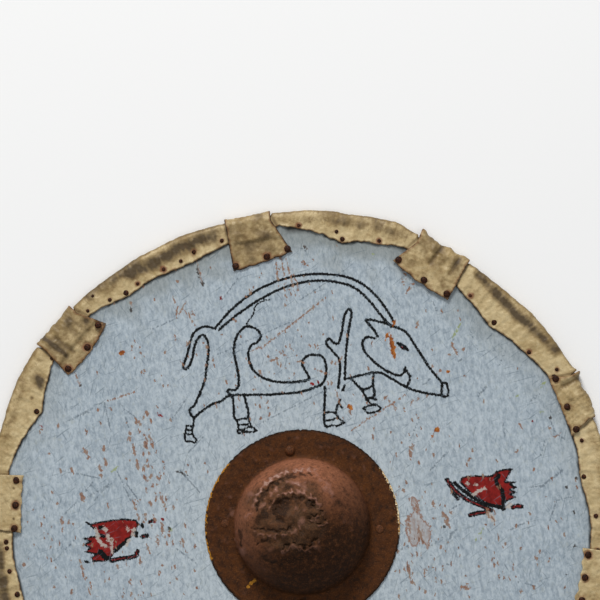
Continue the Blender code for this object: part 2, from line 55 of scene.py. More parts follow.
# Numbers of the edging's strips and of the patches, and names of the patches' tacks
NUMBERS = range(1, 11)
PATCH_TACKS = [f"tack_{number}_{each}" for number in NUMBERS for each in (1, 2, 3)]

# The photograph: 600 pixels square, the shield's middle in it, and its scale
PHOTO_SIZE = 600
PHOTO_MIDDLE = (299.0, 527.0)
PIXEL_MM = 1.0285

# Heights and radii of the stack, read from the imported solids
BOARD_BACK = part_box("board")[0].z
BOARD_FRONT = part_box("board")[1].z
BOARD_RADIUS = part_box("board")[1].x
FLANGE_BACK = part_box("boss")[0].z
BOSS_LOW, BOSS_HIGH = (np.array(corner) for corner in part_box("boss"))
BOSS_CENTRE = (BOSS_LOW[:2] + BOSS_HIGH[:2]) / 2
BOSS_HALF = (BOSS_HIGH[:2] - BOSS_LOW[:2]) / 2

# Sizes that the finished pieces share with the solids, in metres
RAWHIDE = 1.8 * MM
FIT_GAP = 0.3 * MM
EDGE_ROUND = 3.0 * MM
EDGING_OFF = FIT_GAP + RAWHIDE
PATCH_OFF = 2 * (FIT_GAP + RAWHIDE)
BOSS_SHEET = 2.0 * MM
DOME_RADIUS = 69.5 * MM
DOME_HEIGHT = 64.0 * MM
DOME_FOOT_ANGLE = math.radians(12)
FLANGE_FILLET = 4.5 * MM
BOSS_EDGE = DOME_RADIUS + 30.2 * MM
CROWN_LEAN = np.array([-9.0, 8.0]) * MM
CROWN_FADE = 26.0 * MM


# Stage

CAMERA_HEIGHT = 4.0
SENSOR_MM = 36.0
FLOOR_HALF = 14.0
KEY_WATTS = 272
FILL_WATTS = 72
SKY_STRENGTH = 0.33


def from_photo(pixels):
    """Places in metres of pixels (across, down): the offset from the shield's middle times the scale, down
    made up."""
    return (np.asarray(pixels, float) - PHOTO_MIDDLE) * (1, -1) * PIXEL_MM * MM


def linear(hex_colour):
    """An sRGB hex colour as linear red, green and blue, and one."""
    parts = [int(hex_colour[i : i + 2], 16) / 255 for i in (1, 3, 5)]
    return tuple(p / 12.92 if p <= 0.04045 else ((p + 0.055) / 1.055) ** 2.4 for p in parts) + (1.0,)


def area_light(name, place, size, watts, colour):
    """A large soft light, turned to the middle of the shield and unseen by the camera."""
    data = bpy.data.lights.new(name, "AREA")
    data.shape = "DISK"
    data.size = size
    data.energy = watts
    data.color = colour
    made = bpy.data.objects.new(name, data)
    bpy.context.scene.collection.objects.link(made)
    made.location = place
    made.rotation_euler = (-Vector(place)).to_track_quat("-Z", "Y").to_euler()
    made.visible_camera = False


def set_stage():
    """The camera over the shield and aimed at the photograph's middle, daylight from the top, and a pale
    floor."""
    scene = bpy.context.scene
    across, up = from_photo((PHOTO_SIZE / 2, PHOTO_SIZE / 2))
    aim = Vector((across, up, BOARD_FRONT))
    place = Vector((across, 0.0, CAMERA_HEIGHT))
    data = bpy.data.cameras.new("camera")
    camera = bpy.data.objects.new("camera", data)
    scene.collection.objects.link(camera)
    camera.location = place
    camera.rotation_euler = (aim - place).to_track_quat("-Z", "Y").to_euler()
    data.sensor_width = SENSOR_MM
    data.lens = SENSOR_MM * (aim - place).length / (PHOTO_SIZE * PIXEL_MM * MM)
    data.clip_end = 60
    scene.camera = camera

    area_light("key", (-0.9, 4.6, 3.6), 2.0, KEY_WATTS, (1.0, 0.985, 0.96))
    area_light("fill", (0.6, -0.8, 6.5), 4.5, FILL_WATTS, (0.97, 0.985, 1.0))
    world = bpy.data.worlds.new("sky")
    scene.world = world
    world.use_nodes = True
    world.node_tree.nodes["Background"].inputs["Color"].default_value = linear("#F2F5F8")
    world.node_tree.nodes["Background"].inputs["Strength"].default_value = SKY_STRENGTH
    scene.view_settings.view_transform = "Standard"
    scene.view_settings.look = "None"

    corners = np.array([(-1, -1, 0), (1, -1, 0), (1, 1, 0), (-1, 1, 0)], float) * FLOOR_HALF
    mesh = bpy.data.meshes.new("floor")
    mesh.from_pydata(corners.tolist(), [], [(0, 1, 2, 3)])
    floor = bpy.data.objects.new("floor", mesh)
    scene.collection.objects.link(floor)
    # Studio board: matt, even and pale, so it shows no gloss
    paper = bpy.data.materials.new("studio_board")
    paper.use_nodes = True
    shader = paper.node_tree.nodes["Principled BSDF"]
    shader.inputs["Base Color"].default_value = linear("#F5F5F5")
    shader.inputs["Roughness"].default_value = 0.95
    shader.inputs["Specular IOR Level"].default_value = 0.1
    mesh.materials.append(paper)


# Surfaces

def spaced(*stops):
    """Values from the first stop to the last. A stop is (start, step), and each stretch is cut into equal
    steps that are no longer than its own; the last stop is a bare number."""
    ends = [stop[0] for stop in stops[1:-1]] + [stops[-1]]
    values = []
    for (start, step), end in zip(stops, ends):
        count = max(1, math.ceil(abs(end - start) / step))
        values.append(np.linspace(start, end, count, endpoint=False))
    return np.concatenate(values + [[stops[-1]]])


def eased(low, high, value):
    """0 below low, 1 above high, and between them 3 t squared less 2 t cubed of the share of the way, t."""
    t = np.clip((value - low) / (high - low), 0, 1)
    return t * t * (3 - 2 * t)


def ripple(places, length, seed, waves=14):
    """A smooth uneven field, mostly from -1 to 1: plane waves of about that length in random directions,
    summed and divided by the square root of half their number."""
    rng = np.random.default_rng(seed)
    places = np.asarray(places)
    total = np.zeros(places.shape[:-1])
    for _ in range(waves):
        direction = rng.normal(size=places.shape[-1])
        direction *= 2 * math.pi / (np.linalg.norm(direction) * length * rng.uniform(0.75, 1.35))
        total += np.sin(places @ direction + rng.uniform(0, 2 * math.pi))
    return total / math.sqrt(waves / 2)


def bell(distance, spread):
    """1 at no distance, falling off as the exponential of minus half the squared share of the spread."""
    return np.exp(-0.5 * (distance / spread) ** 2)


def polar(bearing, radius):
    """East and north of bearings and radii: the radius times the sine and the cosine."""
    angle = np.radians(bearing)
    return np.stack([radius * np.sin(angle), radius * np.cos(angle)], -1)


def bearing_of(places):
    """Bearings of places (east, north)."""
    return np.degrees(np.arctan2(places[..., 0], places[..., 1]))


def turn_between(bearing, start):
    """The turn from one bearing to another, from -180 to 180 degrees."""
    return (bearing - start + 180) % 360 - 180


def piece(name, points, faces, finish, sharp=40, fields=None):
    """A mesh object that rides on the shield, facing out, with float fields on its points for its
    material."""
    mesh = bpy.data.meshes.new(name)
    mesh.from_pydata(points.reshape(-1, 3), [], faces)
    shape = bmesh.new()
    shape.from_mesh(mesh)
    bmesh.ops.recalc_face_normals(shape, faces=shape.faces)
    shape.to_mesh(mesh)
    shape.free()
    for field, values in (fields or {}).items():
        layer = mesh.attributes.new(field, "FLOAT", "POINT")
        layer.data.foreach_set("value", np.ascontiguousarray(values, np.float32).ravel())
    mesh.shade_smooth()
    mesh.set_sharp_from_angle(angle=math.radians(sharp))
    mesh.materials.append(finish)
    made = bpy.data.objects.new(name, mesh)
    bpy.context.scene.collection.objects.link(made)
    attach(made, "root")
    return made


def grid_faces(rows, columns, close_rows=False, close_columns=False):
    """Four-sided faces of a grid of points, numbered row by row; closing joins the last row or column to
    the first."""
    r = np.arange(rows if close_rows else rows - 1)[:, None]
    c = np.arange(columns if close_columns else columns - 1)[None, :]
    low, high = r * columns, (r + 1) % rows * columns
    left, right = c, (c + 1) % columns
    return np.stack([low + left, low + right, high + right, high + left], -1).reshape(-1, 4)


def sheet_faces(columns, rows):
    """Faces of a bent sheet whose columns are loops: rows points along the outer side, then as many back
    along the inner side. The two end columns are closed by strips from one side to the other."""
    loop = 2 * rows
    i = np.arange(rows - 1)
    first = np.stack([i, i + 1, loop - 2 - i, loop - 1 - i], -1)
    last = first + (columns - 1) * loop
    return np.concatenate([grid_faces(columns, loop, close_columns=True), first, last])


def turned_faces(rings, columns):
    """Faces of closed rings between two end points: the first point, the rings in order, and the last
    point."""
    i = np.arange(columns)
    j = (i + 1) % columns
    last = rings * columns + 1
    start = np.stack([np.zeros(columns, int), 1 + j, 1 + i], -1)
    end = np.stack([np.full(columns, last), last - columns + i, last - columns + j], -1)
    return start.tolist() + (grid_faces(rings, columns, close_columns=True) + 1).tolist() + end.tolist()


def with_ends(rings):
    """Points of closed rings, between the middle of the first ring and the middle of the last."""
    return np.concatenate([rings[0].mean(0)[None], rings.reshape(-1, 3), rings[-1].mean(0)[None]])


def node_points(name):
    """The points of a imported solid."""
    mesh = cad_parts[name].data
    points = np.empty(len(mesh.vertices) * 3)
    mesh.vertices.foreach_get("co", points)
    return points.reshape(-1, 3)


def smooth_line(points, steps=7):
    """A smooth line through a few points: on each stretch, the cubic whose slope at a point is half the
    way between the point's neighbours."""
    points = np.asarray(points, float)
    before = np.concatenate([[2 * points[0] - points[1]], points[:-1]])
    after = np.concatenate([points[1:], [2 * points[-1] - points[-2]]])
    slope = (after - before) / 2
    t = np.linspace(0, 1, steps, endpoint=False)[None, :, None]
    a, b, ma, mb = points[:-1, None], points[1:, None], slope[:-1, None], slope[1:, None]
    bulk = (2 * t**3 - 3 * t**2 + 1) * a + (3 * t**2 - 2 * t**3) * b
    curve = bulk + (t**3 - 2 * t**2 + t) * ma + (t**3 - t**2) * mb
    return np.concatenate([curve.reshape(-1, points.shape[1]), points[-1:]])


def line_distance(places, line):
    """Distance from each place to the nearest point of a line of straight stretches."""
    best = np.full(places.shape[:-1], 1e9)
    for a, b in zip(line[:-1], line[1:]):
        along = b - a
        t = np.clip((places - a) @ along / max(along @ along, 1e-12), 0, 1)
        gap = places - a - t[..., None] * along
        best = np.minimum(best, gap[..., 0] ** 2 + gap[..., 1] ** 2)
    return np.sqrt(best)


def outline_distance(places, outline):
    """Distance to a closed outline, negative inside: a place is inside where a line east of it crosses the
    outline an odd number of times."""
    closed = np.concatenate([outline, outline[:1]])
    inside = np.zeros(len(places), bool)
    for a, b in zip(closed[:-1], closed[1:]):
        if a[1] == b[1]:
            continue
        crosses = (a[1] > places[:, 1]) != (b[1] > places[:, 1])
        inside ^= crosses & (places[:, 0] < a[0] + (places[:, 1] - a[1]) * (b[0] - a[0]) / (b[1] - a[1]))
    gap = line_distance(places, closed)
    return np.where(inside, -gap, gap)


# Materials

def add(tree, kind, *inputs, out=0, **settings):
    """Adds a node with its settings and returns an output. Inputs go by the node's order: a socket is
    linked, a value is set, and None is left as it is."""
    made = tree.nodes.new("ShaderNode" + kind)
    for name, value in settings.items():
        setattr(made, name, value)
    for socket, value in zip([each for each in made.inputs if each.enabled], inputs):
        if isinstance(value, bpy.types.NodeSocket):
            tree.links.new(value, socket)
        elif value is not None:
            socket.default_value = value
    return [each for each in made.outputs if each.enabled][out]


def material(name):
    """An empty material, its node tree, its shader and the object's own coordinates."""
    made = bpy.data.materials.new(name)
    made.use_nodes = True
    tree = made.node_tree
    return made, tree, tree.nodes["Principled BSDF"], add(tree, "TexCoord", out=3)


def blotches(tree, place, size_mm, detail=3.0, seed=0.0, rough=0.55):
    """Noise whose blotches are that size in millimetres, or three sizes, one for each axis."""
    sizes = size_mm if isinstance(size_mm, tuple) else (size_mm,) * 3
    scale = tuple(1 / (size * MM) for size in sizes)
    laid = add(tree, "Mapping", place, (seed, seed * 1.7, -seed), (0, 0, 0), scale)
    return add(tree, "TexNoise", laid, 1.0, detail, rough)


def coats(tree, colour, *layers):
    """Colours laid one over another. A layer is the pattern it follows, the two values of the pattern that
    it comes in between, the share that it reaches, and its colour."""
    for pattern, low, high, share, tint in layers:
        amount = add(tree, "MapRange", pattern, low, high, 0.0, share)
        tint = linear(tint) if isinstance(tint, str) else tint
        colour = add(tree, "Mix", amount, colour, tint, data_type="RGBA")
    return colour


def frayed(tree, source, noise, low, high):
    """A source with frayed edges: noise, taken from between 0.3 and 0.7 to between low and high, is added
    to it."""
    return add(tree, "Math", source, add(tree, "MapRange", noise, 0.3, 0.7, low, high), operation="ADD")


def faded(tree, source, pattern, low, high, first=0.0, last=1.0):
    """A source times a pattern that is taken from between low and high to between first and last."""
    share = add(tree, "MapRange", pattern, low, high, first, last)
    return add(tree, "Math", source, share, operation="MULTIPLY")


def relief_of(tree, *patterns):
    """A height: patterns, each times its own share, summed."""
    height = 0.0
    for pattern, share in patterns:
        height = add(tree, "Math", pattern, share, height, operation="MULTIPLY_ADD")
    return height


def finish_with(tree, shader, colour, rough, height, bump_mm, gloss):
    """Feeds a shader: colour, roughness, and the bump of a height that stands for that many millimetres."""
    bump = add(tree, "Bump", 1.0, bump_mm * MM, None, height)
    for name, source in (("Base Color", colour), ("Roughness", rough), ("Normal", bump)):
        tree.links.new(source, shader.inputs[name])
    shader.inputs["Specular IOR Level"].default_value = gloss


# The painted figures, in millimetres east and north of the shield's middle

# Half width of the boar's outline
LINE_HALF_MM = 1.25
# The boar's outline, as smooth lines through these points
BOAR_LINES = (
    # back and mane, outer and inner
    (
        (-86, 205), (-68, 225), (-44, 243), (-16, 255), (12, 260), (40, 259), (62, 252), (79, 238), (91, 222),
        (98, 210),
    ),
    (
        (-82, 203), (-64, 218), (-42, 233), (-16, 246), (12, 253), (38, 252), (57, 246), (73, 232), (85, 217),
        (95, 206),
    ),
    # tail, and on down the back of the hind leg
    (
        (-86, 204), (-97, 206), (-107, 201), (-112, 190), (-115, 177), (-119, 165), (-115, 163), (-110, 172),
        (-107, 187), (-101, 197), (-95, 194), (-93, 181), (-95, 163), (-97, 150), (-104, 132), (-107.5, 125),
        (-112, 121), (-111.5, 116.5), (-107.7, 112),
    ),
    # front of the far thigh, and the belly
    (
        (-107.7, 112), (-102, 117.5), (-94.5, 123), (-88, 126.8), (-80, 129.3), (-72.7, 134.7), (-68, 135.5),
        (-50, 136), (-22, 136.6), (4, 139.5), (24, 147),
    ),
    # hip, curling up and back down along the flank to the scroll at the elbow
    (
        (-69, 135.5), (-72.7, 138), (-73.3, 140), (-71, 141.3), (-67, 141), (-63.5, 142.5), (-61.7, 150),
        (-64, 166), (-67, 181), (-64, 196), (-55, 206), (-45, 204), (-39, 197), (-43, 190), (-50, 186),
        (-52, 175), (-48, 163), (-38, 154), (-24, 149.5), (-6, 149), (10, 152), (7, 160), (3, 168), (7, 175),
        (16, 177), (24, 175), (28, 165), (27, 153), (22, 145),
    ),
    # near hind leg
    ((-68.6, 135), (-67.5, 129), (-67, 119.5), (-66.5, 113), (-63.8, 110)),
    ((-56.2, 136), (-54, 126.5), (-52, 118), (-52.4, 112)),
    # near fore leg
    ((26.5, 144), (26.5, 134), (26, 119), (26, 106.5), (29, 102.6)),
    ((46.7, 145), (45, 140.3)),
    ((42.2, 130.6), (39.3, 123.7), (37.6, 117)),
    # shoulder, with a forked top
    (
        (47, 152), (48, 175), (51, 203), (54, 219), (51, 224), (47, 218), (44, 201), (41, 190), (36, 189),
        (31, 194), (28, 189), (34, 181), (41, 173), (42, 160), (40, 143),
    ),
    # chest and jaw line
    ((47, 152), (64, 156), (82, 159), (96, 152), (112, 143), (128, 138), (147, 135)),
    # far fore leg
    ((54, 151.8), (63.4, 142), (69.6, 131.7), (71.5, 129)),
    ((76.4, 157.5), (76, 149), (77.3, 137.5), (76.4, 132.4)),
    ((63.9, 141.5), (69.6, 142), (75.3, 145)),
    ((69, 131), (74.2, 132.9), (79.2, 131)),
    # ear
    ((96, 207), (83, 211), (69, 213), (76, 204), (81, 196)),
    # brow and snout
    ((96, 207), (110, 200), (121, 184), (134, 164), (147, 148)),
    ((147, 148), (152, 147), (153, 136), (147, 135), (147, 148)),
    # cheek scroll and tusk
    ((78, 194), (69, 195), (65, 187), (71, 176), (86, 163), (101, 156), (107, 158), (109, 164)),
    ((110, 161), (114, 154), (111, 144)),
    # brow over the eye
    ((101, 189), (107, 187), (112, 182)),
)
BOAR_FAINT_LINE = ((-54, 209), (-47, 219), (-45, 227), (-38, 232), (-30, 234))
BOAR_EYE = ((101, 188), (106, 186.5), (112, 181.5), (106, 183), (101, 188))

# Feet: bands round the ankle and a hoof with its toe, as pixels
BOAR_FEET_PX = (
    ((194.3, 418), (193.8, 422.5), (193, 427)),
    ((187, 425.5), (193, 426.5)),
    (
        (193, 426.5), (192.3, 433.3), (193.7, 436.7), (197.1, 440), (195, 442.7), (191.7, 441.6),
        (185.7, 441.3),
    ),
    ((185.7, 441.3), (185, 433.5), (187, 424.8)),
    ((186, 430), (192.5, 430.5)),
    ((185.5, 434), (192.5, 434.5)),
    ((237, 420), (241.7, 418.8), (248.5, 418.7), (250.9, 425.5)),
    ((237, 420), (238.3, 426.7), (238.7, 430)),
    ((238.5, 425), (250.5, 424)),
    ((237.6, 429.6), (238.2, 432.8), (242.2, 433.2), (242.6, 430), (237.6, 429.6)),
    ((243, 429.3), (249.7, 426.7), (253.7, 427.3), (256.8, 430.6), (253.7, 432), (242.4, 432)),
    (
        (325, 413.3), (328.9, 411.8), (335.6, 413), (338.3, 417.8), (344, 422.8), (336.7, 426), (332.2, 425),
        (327.2, 427.2),
    ),
    ((325, 420.6), (332.2, 420), (337, 417.8)),
    ((338.3, 404), (342, 407.6)),
    ((368.5, 401.5), (371.5, 404.4), (375.5, 404)),
    ((364, 407.5), (370, 405.4), (377, 404.8), (380.3, 408)),
    ((363, 408), (366.7, 412.2), (369, 413.3), (379, 411.2), (380.3, 408)),
)


# Red heads: filled outlines, black straps with their half widths, thin red tongues with theirs, and pale worn
# strokes
RIGHT_HEAD = (
    (165, 46.5), (168, 51.5), (179, 53), (190, 52.5), (198.5, 53), (202, 57), (208, 59), (218.5, 60),
    (213, 50), (211, 46.5), (222, 46.5), (216.5, 44), (223, 41), (216.5, 38.8), (223, 35.8), (216.5, 34),
    (222, 31), (213, 27), (208, 22), (196, 23), (184, 29), (175, 36), (169, 42),
)
RIGHT_STRAPS = (
    (((160, 45.5), (165, 40.5), (176, 32.5), (189, 25), (205, 21), (211, 19.5)), 1.9),
    (((205, 53), (202, 49), (203.5, 44), (208.5, 37), (209.5, 27), (209, 19)), 2.0),
)
RIGHT_TONGUES = (
    (((152, 48.5), (156.5, 42), (162, 36), (174, 27.5), (186, 22.5), (197, 17.5)), 1.7),
    (((157, 38), (159.5, 33), (163, 29)), 1.1),
    (((175, 12.5), (183, 14.5), (191, 15.5)), 1.7),
    (((219, 20.5), (223, 21.7), (228, 21.5)), 1.9),
)
LEFT_HEAD = (
    (-219, 5.5), (-213, 3), (-209, 4.5), (-194, 7), (-181, 8.5), (-167, 7.5), (-164.5, 3.5), (-169, -6),
    (-175, -13), (-181, -17.5), (-188, -23.5), (-192, -30), (-198, -34.5), (-211.5, -35), (-212.5, -30.5),
    (-207.5, -27.5), (-219.5, -25), (-214, -21), (-220, -17.5), (-213.5, -14.5), (-220.5, -11.5),
    (-214, -9.5), (-207, -9), (-208, -2.5),
)
LEFT_STRAPS = (
    (((-203.5, -25), (-200, -29), (-197, -31.5)), 2.7),
    (((-188.5, -24), (-181, -17.5), (-175, -12)), 2.0),
    (((-204.5, 0), (-201.5, -0.5)), 1.8),
    (((-204.5, -8), (-200.5, -9)), 1.8),
    (((-161, 3), (-160, 0)), 1.5),
    (((-166.5, -5), (-166.5, -9)), 1.6),
    (((-218.5, -35), (-216.5, -36)), 1.4),
)
LEFT_TONGUES = (
    (((-192, -34), (-183, -32), (-172, -30.5), (-167, -28.5), (-165.8, -24)), 1.7),
    (((-160, -9.5), (-156, -8.5)), 1.7),
    (((-152.5, 6), (-151, 6.5)), 1.5),
)
PALE_STROKES = (
    (((178.5, 33.5), (184, 37), (190.5, 40.5)), 1.7),
    (((172, 45), (173, 44.8)), 1.4),
    (((181, 44), (182, 43.6)), 1.4),
    (((194, 14), (197, 11), (199, 8)), 2.6),
    (((216, 24), (214, 21)), 2.2),
    (((-208, -2), (-206, -10), (-203, -16), (-198, -20)), 1.8),
    (((-200, -1), (-198, -3)), 2.0),
    (((-196, -8), (-195, -14)), 1.7),
    (((-191, -12), (-192, -19), (-191, -26)), 1.3),
    (((-176, 0), (-175, -3)), 1.4),
    (((-169, -1), (-170, -8)), 1.7),
    (((-174, -13), (-177, -18)), 1.7),
)

# Bare flakes in the paint, as pixels: across, down, length, width, and lean of the top to the left in degrees
FLAKES_PX = (
    (277, 272, 30, 1.4, 8), (283, 268, 26, 1.3, 12), (290, 275, 34, 1.4, 14), (297, 285, 24, 1.1, 15),
    (285, 292, 16, 1.1, 10), (250, 293, 9, 1.8, -30), (235, 320, 5, 2.4, 40), (305, 247, 8, 1.2, 30),
    (282, 354, 12, 1.4, 60), (273, 360, 10, 1.4, -70), (291, 348, 9, 1.1, 30), (260, 372, 8, 1.8, 30),
    (300, 362, 10, 1.4, 80), (322, 372, 14, 1.3, 70), (340, 360, 9, 1.2, -40), (338, 398, 14, 1.4, 15),
    (408, 568, 17, 3.6, 10), (411.8, 581, 11, 3.4, 22), (443.5, 515, 9, 4.0, 30), (446.5, 521, 10, 3.2, -10),
    (463, 588, 13, 4.4, 84), (435, 579, 7, 2.8, 10), (445, 582.5, 5, 2.2, 0), (473, 580, 7, 2.0, 20),
    (409, 524, 18, 1.9, 4), (420, 533, 20, 2.2, 14), (416, 508, 12, 2.0, 14), (462.5, 540, 4, 2.6, 30),
    (417.5, 416.5, 5, 2.0, 30), (450.5, 512, 5, 2.2, 40), (410, 453, 14, 2.9, 5), (448, 524, 9, 1.9, 25),
    (412, 402, 6, 1.8, -30), (404, 410, 7, 1.4, 30), (452.5, 346, 8, 2.4, 10), (456, 352, 8, 2.2, 25),
    (449, 355, 4, 2.4, 0), (464, 377, 5, 2.1, 0), (439, 372, 8, 1.6, -40), (432, 366, 4, 2.1, 0),
    (130.2, 436, 11, 2.7, 5), (134.6, 451, 15, 2.2, 8), (137, 422, 8, 2.6, -10), (140.5, 424, 7, 1.9, 20),
    (139.5, 431, 5, 1.9, 10), (147, 413.4, 6, 4.3, 0), (144, 418, 5, 1.9, 0), (151.2, 421, 6, 2.4, 0),
    (144.5, 435, 4, 2.4, 0), (150.3, 437, 8, 2.1, 5), (145.8, 444.6, 10, 3.8, 12), (152.5, 444, 10, 2.2, 10),
    (143.6, 453.6, 5, 2.2, 0), (149.4, 453.6, 4, 2.2, 0), (138.2, 465, 11, 3.2, 8), (144.5, 468, 7, 2.7, 0),
    (148.9, 466, 6, 2.4, -20), (147, 461, 5, 1.8, 0), (145.4, 478, 8, 2.2, 20), (150.7, 477, 11, 2.1, -30),
    (152.9, 485, 6, 2.1, 10), (158.8, 478, 6, 2.1, 20), (162.3, 498, 11, 2.6, 20),
    (156.5, 498.7, 6, 2.6, -10), (150.7, 503, 9, 2.4, 20), (135.1, 504.5, 11, 1.9, 15),
    (146.8, 490, 6, 1.6, 0), (165, 505, 6, 1.9, 10), (104.7, 448.7, 8, 3.0, 5), (86, 451.3, 8, 3.4, 30),
    (88.9, 457.6, 4.5, 2.6, 0), (106.1, 462.5, 11, 2.4, 8), (100.7, 468, 9, 2.9, 10),
    (101.6, 475, 6, 2.2, 10), (82.9, 497, 11, 4.2, 20), (62.8, 521.4, 11, 2.4, 3), (72.6, 470.5, 9, 1.8, 20),
    (61.4, 470.5, 8, 1.8, 10), (58.8, 426.3, 5, 2.2, 0), (98, 409.8, 5, 2.6, 0), (53, 492, 4, 2.1, 0),
    (50, 454, 5, 1.9, 10), (58, 503, 4, 1.9, 0), (139, 517, 9, 2.2, 12), (145.8, 516, 8, 2.4, 10),
    (162.8, 527.7, 14, 2.6, 5), (169.5, 535, 6, 2.7, 10), (155, 518, 9, 1.9, 20), (158, 540, 12, 2.1, 10),
    (141, 562, 13, 2.1, 5), (160, 572, 8, 2.4, 0), (149, 548, 10, 1.8, 20), (83, 568, 22, 1.9, 14),
    (91, 593, 8, 1.6, 20), (98, 594, 5, 2.4, 0), (131, 580, 9, 1.8, 10), (118, 566, 7, 1.8, 20),
    (200, 275, 20, 1.3, 14), (174, 300, 8, 1.4, 20), (131, 303, 7, 1.8, 12), (189, 314, 5, 1.8, 10),
    (182, 309, 14, 1.1, -28), (190, 318, 16, 1.2, 35), (177, 312, 10, 1.3, -10), (193, 314, 6, 2.1, 40),
    (175, 338, 6, 1.6, 10), (165, 352, 4, 1.9, 0), (132, 348, 6, 1.8, 10), (141, 353, 4, 1.8, 0),
    (520, 425, 9, 1.4, 30), (550, 430, 12, 1.4, 20), (556, 436, 9, 1.4, -60), (405, 275, 12, 1.4, 25),
    (403, 282, 10, 1.6, 20), (408, 290, 11, 1.6, -30), (412, 286, 9, 1.3, -35), (417, 325, 8, 1.9, -20),
    (207, 350, 8, 1.4, 10), (206, 345, 9, 1.2, 50), (183, 365, 7, 1.4, 40), (480, 557, 9, 1.8, 30),
    (487, 512, 12, 2.2, 10), (492, 518, 10, 1.8, 30), (520, 590, 12, 1.6, 10), (538, 560, 8, 1.4, 30),
    (391, 403, 8, 1.6, 40), (395, 408, 7, 1.8, 30), (385, 398, 6, 1.9, -50), (418, 399, 5, 1.8, 10),
    (412, 447, 9, 2.6, 0), (410, 455, 7, 2.7, 10), (396, 455, 5, 1.6, 10), (469, 459, 6, 1.9, -40),
    (516, 451, 5, 2.4, -40), (533, 469, 6, 1.8, -30), (350, 412, 6, 1.8, 0),
)

# Paint rubbed away down to pinkish wood right of the boss, as pixels round its edge
RUBBED_PX = (
    (410, 497.5), (413.8, 496.9), (418.1, 501.3), (418.8, 508.8), (421.9, 517.5), (429.4, 525),
    (430.6, 532.5), (429.4, 540), (428.8, 549.4), (424.4, 545), (420, 538.8), (417.5, 545), (411.3, 546.3),
    (408.8, 541.3), (405.6, 532.5), (405, 522.5), (406.9, 516.3), (411.3, 513.8), (413.8, 510),
    (410.6, 502.5),
)
# Scratches down to the wood, as pixels from and to, with their half width in millimetres
SCRATCHES_PX = (
    (262, 348, 325, 298, 0.55), (75, 372, 81, 386, 0.7), (108, 401, 135, 392, 0.5),
    (352, 430, 405, 395, 0.35), (250, 352, 262, 346, 0.5),
)
# Scratches that only bruise the paint dark
BRUISES_PX = (
    (478, 396, 486.6, 386.6, 0.9), (529.4, 401, 541, 394, 0.8), (423.4, 384.7, 429.6, 379, 0.8),
    (465, 373.6, 475, 364.4, 0.55), (458, 362, 461.5, 359, 0.8), (540, 487, 562, 470, 1.0),
    (502, 420, 505, 437, 0.5), (68, 421, 92, 411, 0.5), (105, 403, 111, 431, 0.6), (120, 404, 136, 418, 0.6),
    (125, 416, 129, 427, 0.6), (88, 497, 110, 484, 0.7), (65, 514, 77, 502, 0.6), (127, 484, 138, 498, 0.6),
    (86, 491, 93, 482, 0.6), (95, 500, 112, 483, 0.45), (462, 320, 452, 342, 0.4), (257, 425, 330, 388, 0.4),
    (430, 470, 447, 452, 0.6), (508, 530, 531, 519, 0.6), (523, 574, 512, 589, 0.6),
    (189, 452, 203, 437, 0.6), (177, 548, 196, 562, 0.5), (55, 560, 75, 540, 0.5), (442, 560, 461, 573, 0.5),
    (545, 440, 540, 455, 0.6), (556, 500, 549, 520, 0.6), (300, 247, 306, 251, 0.7),
    (222, 300, 238, 278, 0.4), (150, 330, 178, 318, 0.4), (186, 400, 171, 421, 0.5),
    (446, 268, 441, 285, 0.5), (432, 300, 437, 312, 0.6), (487, 340, 494, 330, 0.6),
    (505, 350, 499, 366, 0.5), (431.5, 545, 437, 539.5, 1.1), (437, 539.5, 457, 529, 0.6),
    (446.3, 542.5, 451.3, 535, 0.8), (409, 545, 400.6, 549, 0.9), (449, 510, 459, 504, 0.5),
    (550, 411, 551, 424, 0.7), (551, 424, 556.7, 434.5, 0.7), (556.7, 434.5, 565, 440, 0.6),
    (530, 487, 545, 485, 0.6), (556, 500, 575, 495.5, 0.5), (524, 582, 534.5, 585.6, 0.6),
    (419, 419, 409, 442, 0.4), (420, 558, 434, 554, 0.5), (60, 470, 100, 478, 0.5), (118, 472, 131, 500, 0.5),
    (180, 470, 200, 492, 0.6), (205, 360, 290, 322, 0.35), (60, 425, 108, 400, 0.35),
    (300, 300, 345, 270, 0.4), (470, 330, 478, 350, 0.4),
)

# Dark nicks and smears of older paint, as pixels: across, down, length, width, lean
NICKS_PX = (
    (198, 272, 18, 1.6, 14), (203, 284, 6, 2.6, 10), (131, 310, 7, 2.6, 15), (305, 247, 7, 2.2, 25),
    (81, 386, 5, 2.6, 0), (574, 546, 12, 3.4, 12), (550, 418, 5, 3.0, 0), (566, 487, 5, 2.8, 0),
    (573, 512, 5, 2.6, 0), (565, 574, 6, 2.8, 0), (576, 478, 5, 2.4, 0), (170, 528, 5, 2.4, 20),
    (444, 526, 4, 2.4, 30), (182, 473, 12, 2.0, 70), (503, 547, 5, 1.6, 30), (506, 551, 4, 1.4, -40),
    (501, 552, 4, 1.2, 10), (167, 595, 4, 3.0, 40),
)


# Board: plywood with brushed and rubbed milk paint, flaked and scratched to the wood

# The coat of paint: its radii in millimetres, its gap to the board and its thickness
PAINT_INNER = 74.0
PAINT_OUTER = 316.0
PAINT_LIFT = 0.02 * MM
PAINT_THICKNESS = 0.15 * MM


def flake_distance(places, across, down, length, width, lean):
    """Distance in millimetres to a leaf-shaped flake: along it, the half width falls off as the square of
    the share of the half length from its middle."""
    middle = from_photo((across, down)) / MM
    angle = math.radians(lean)
    along = np.array([-math.sin(angle), math.cos(angle)])
    side = np.array([math.cos(angle), math.sin(angle)])
    reach, half = length * PIXEL_MM / 2, width * PIXEL_MM / 2
    gap = places - middle
    share = np.abs(gap @ along) / reach
    return np.where(share < 1.6, np.abs(gap @ side) - half * (1 - share**2), 30.0)


def nearest_flake(places, flakes):
    """Distance in millimetres to the nearest of some flakes, negative inside."""
    return np.min([flake_distance(places, *flake) for flake in flakes], axis=0)


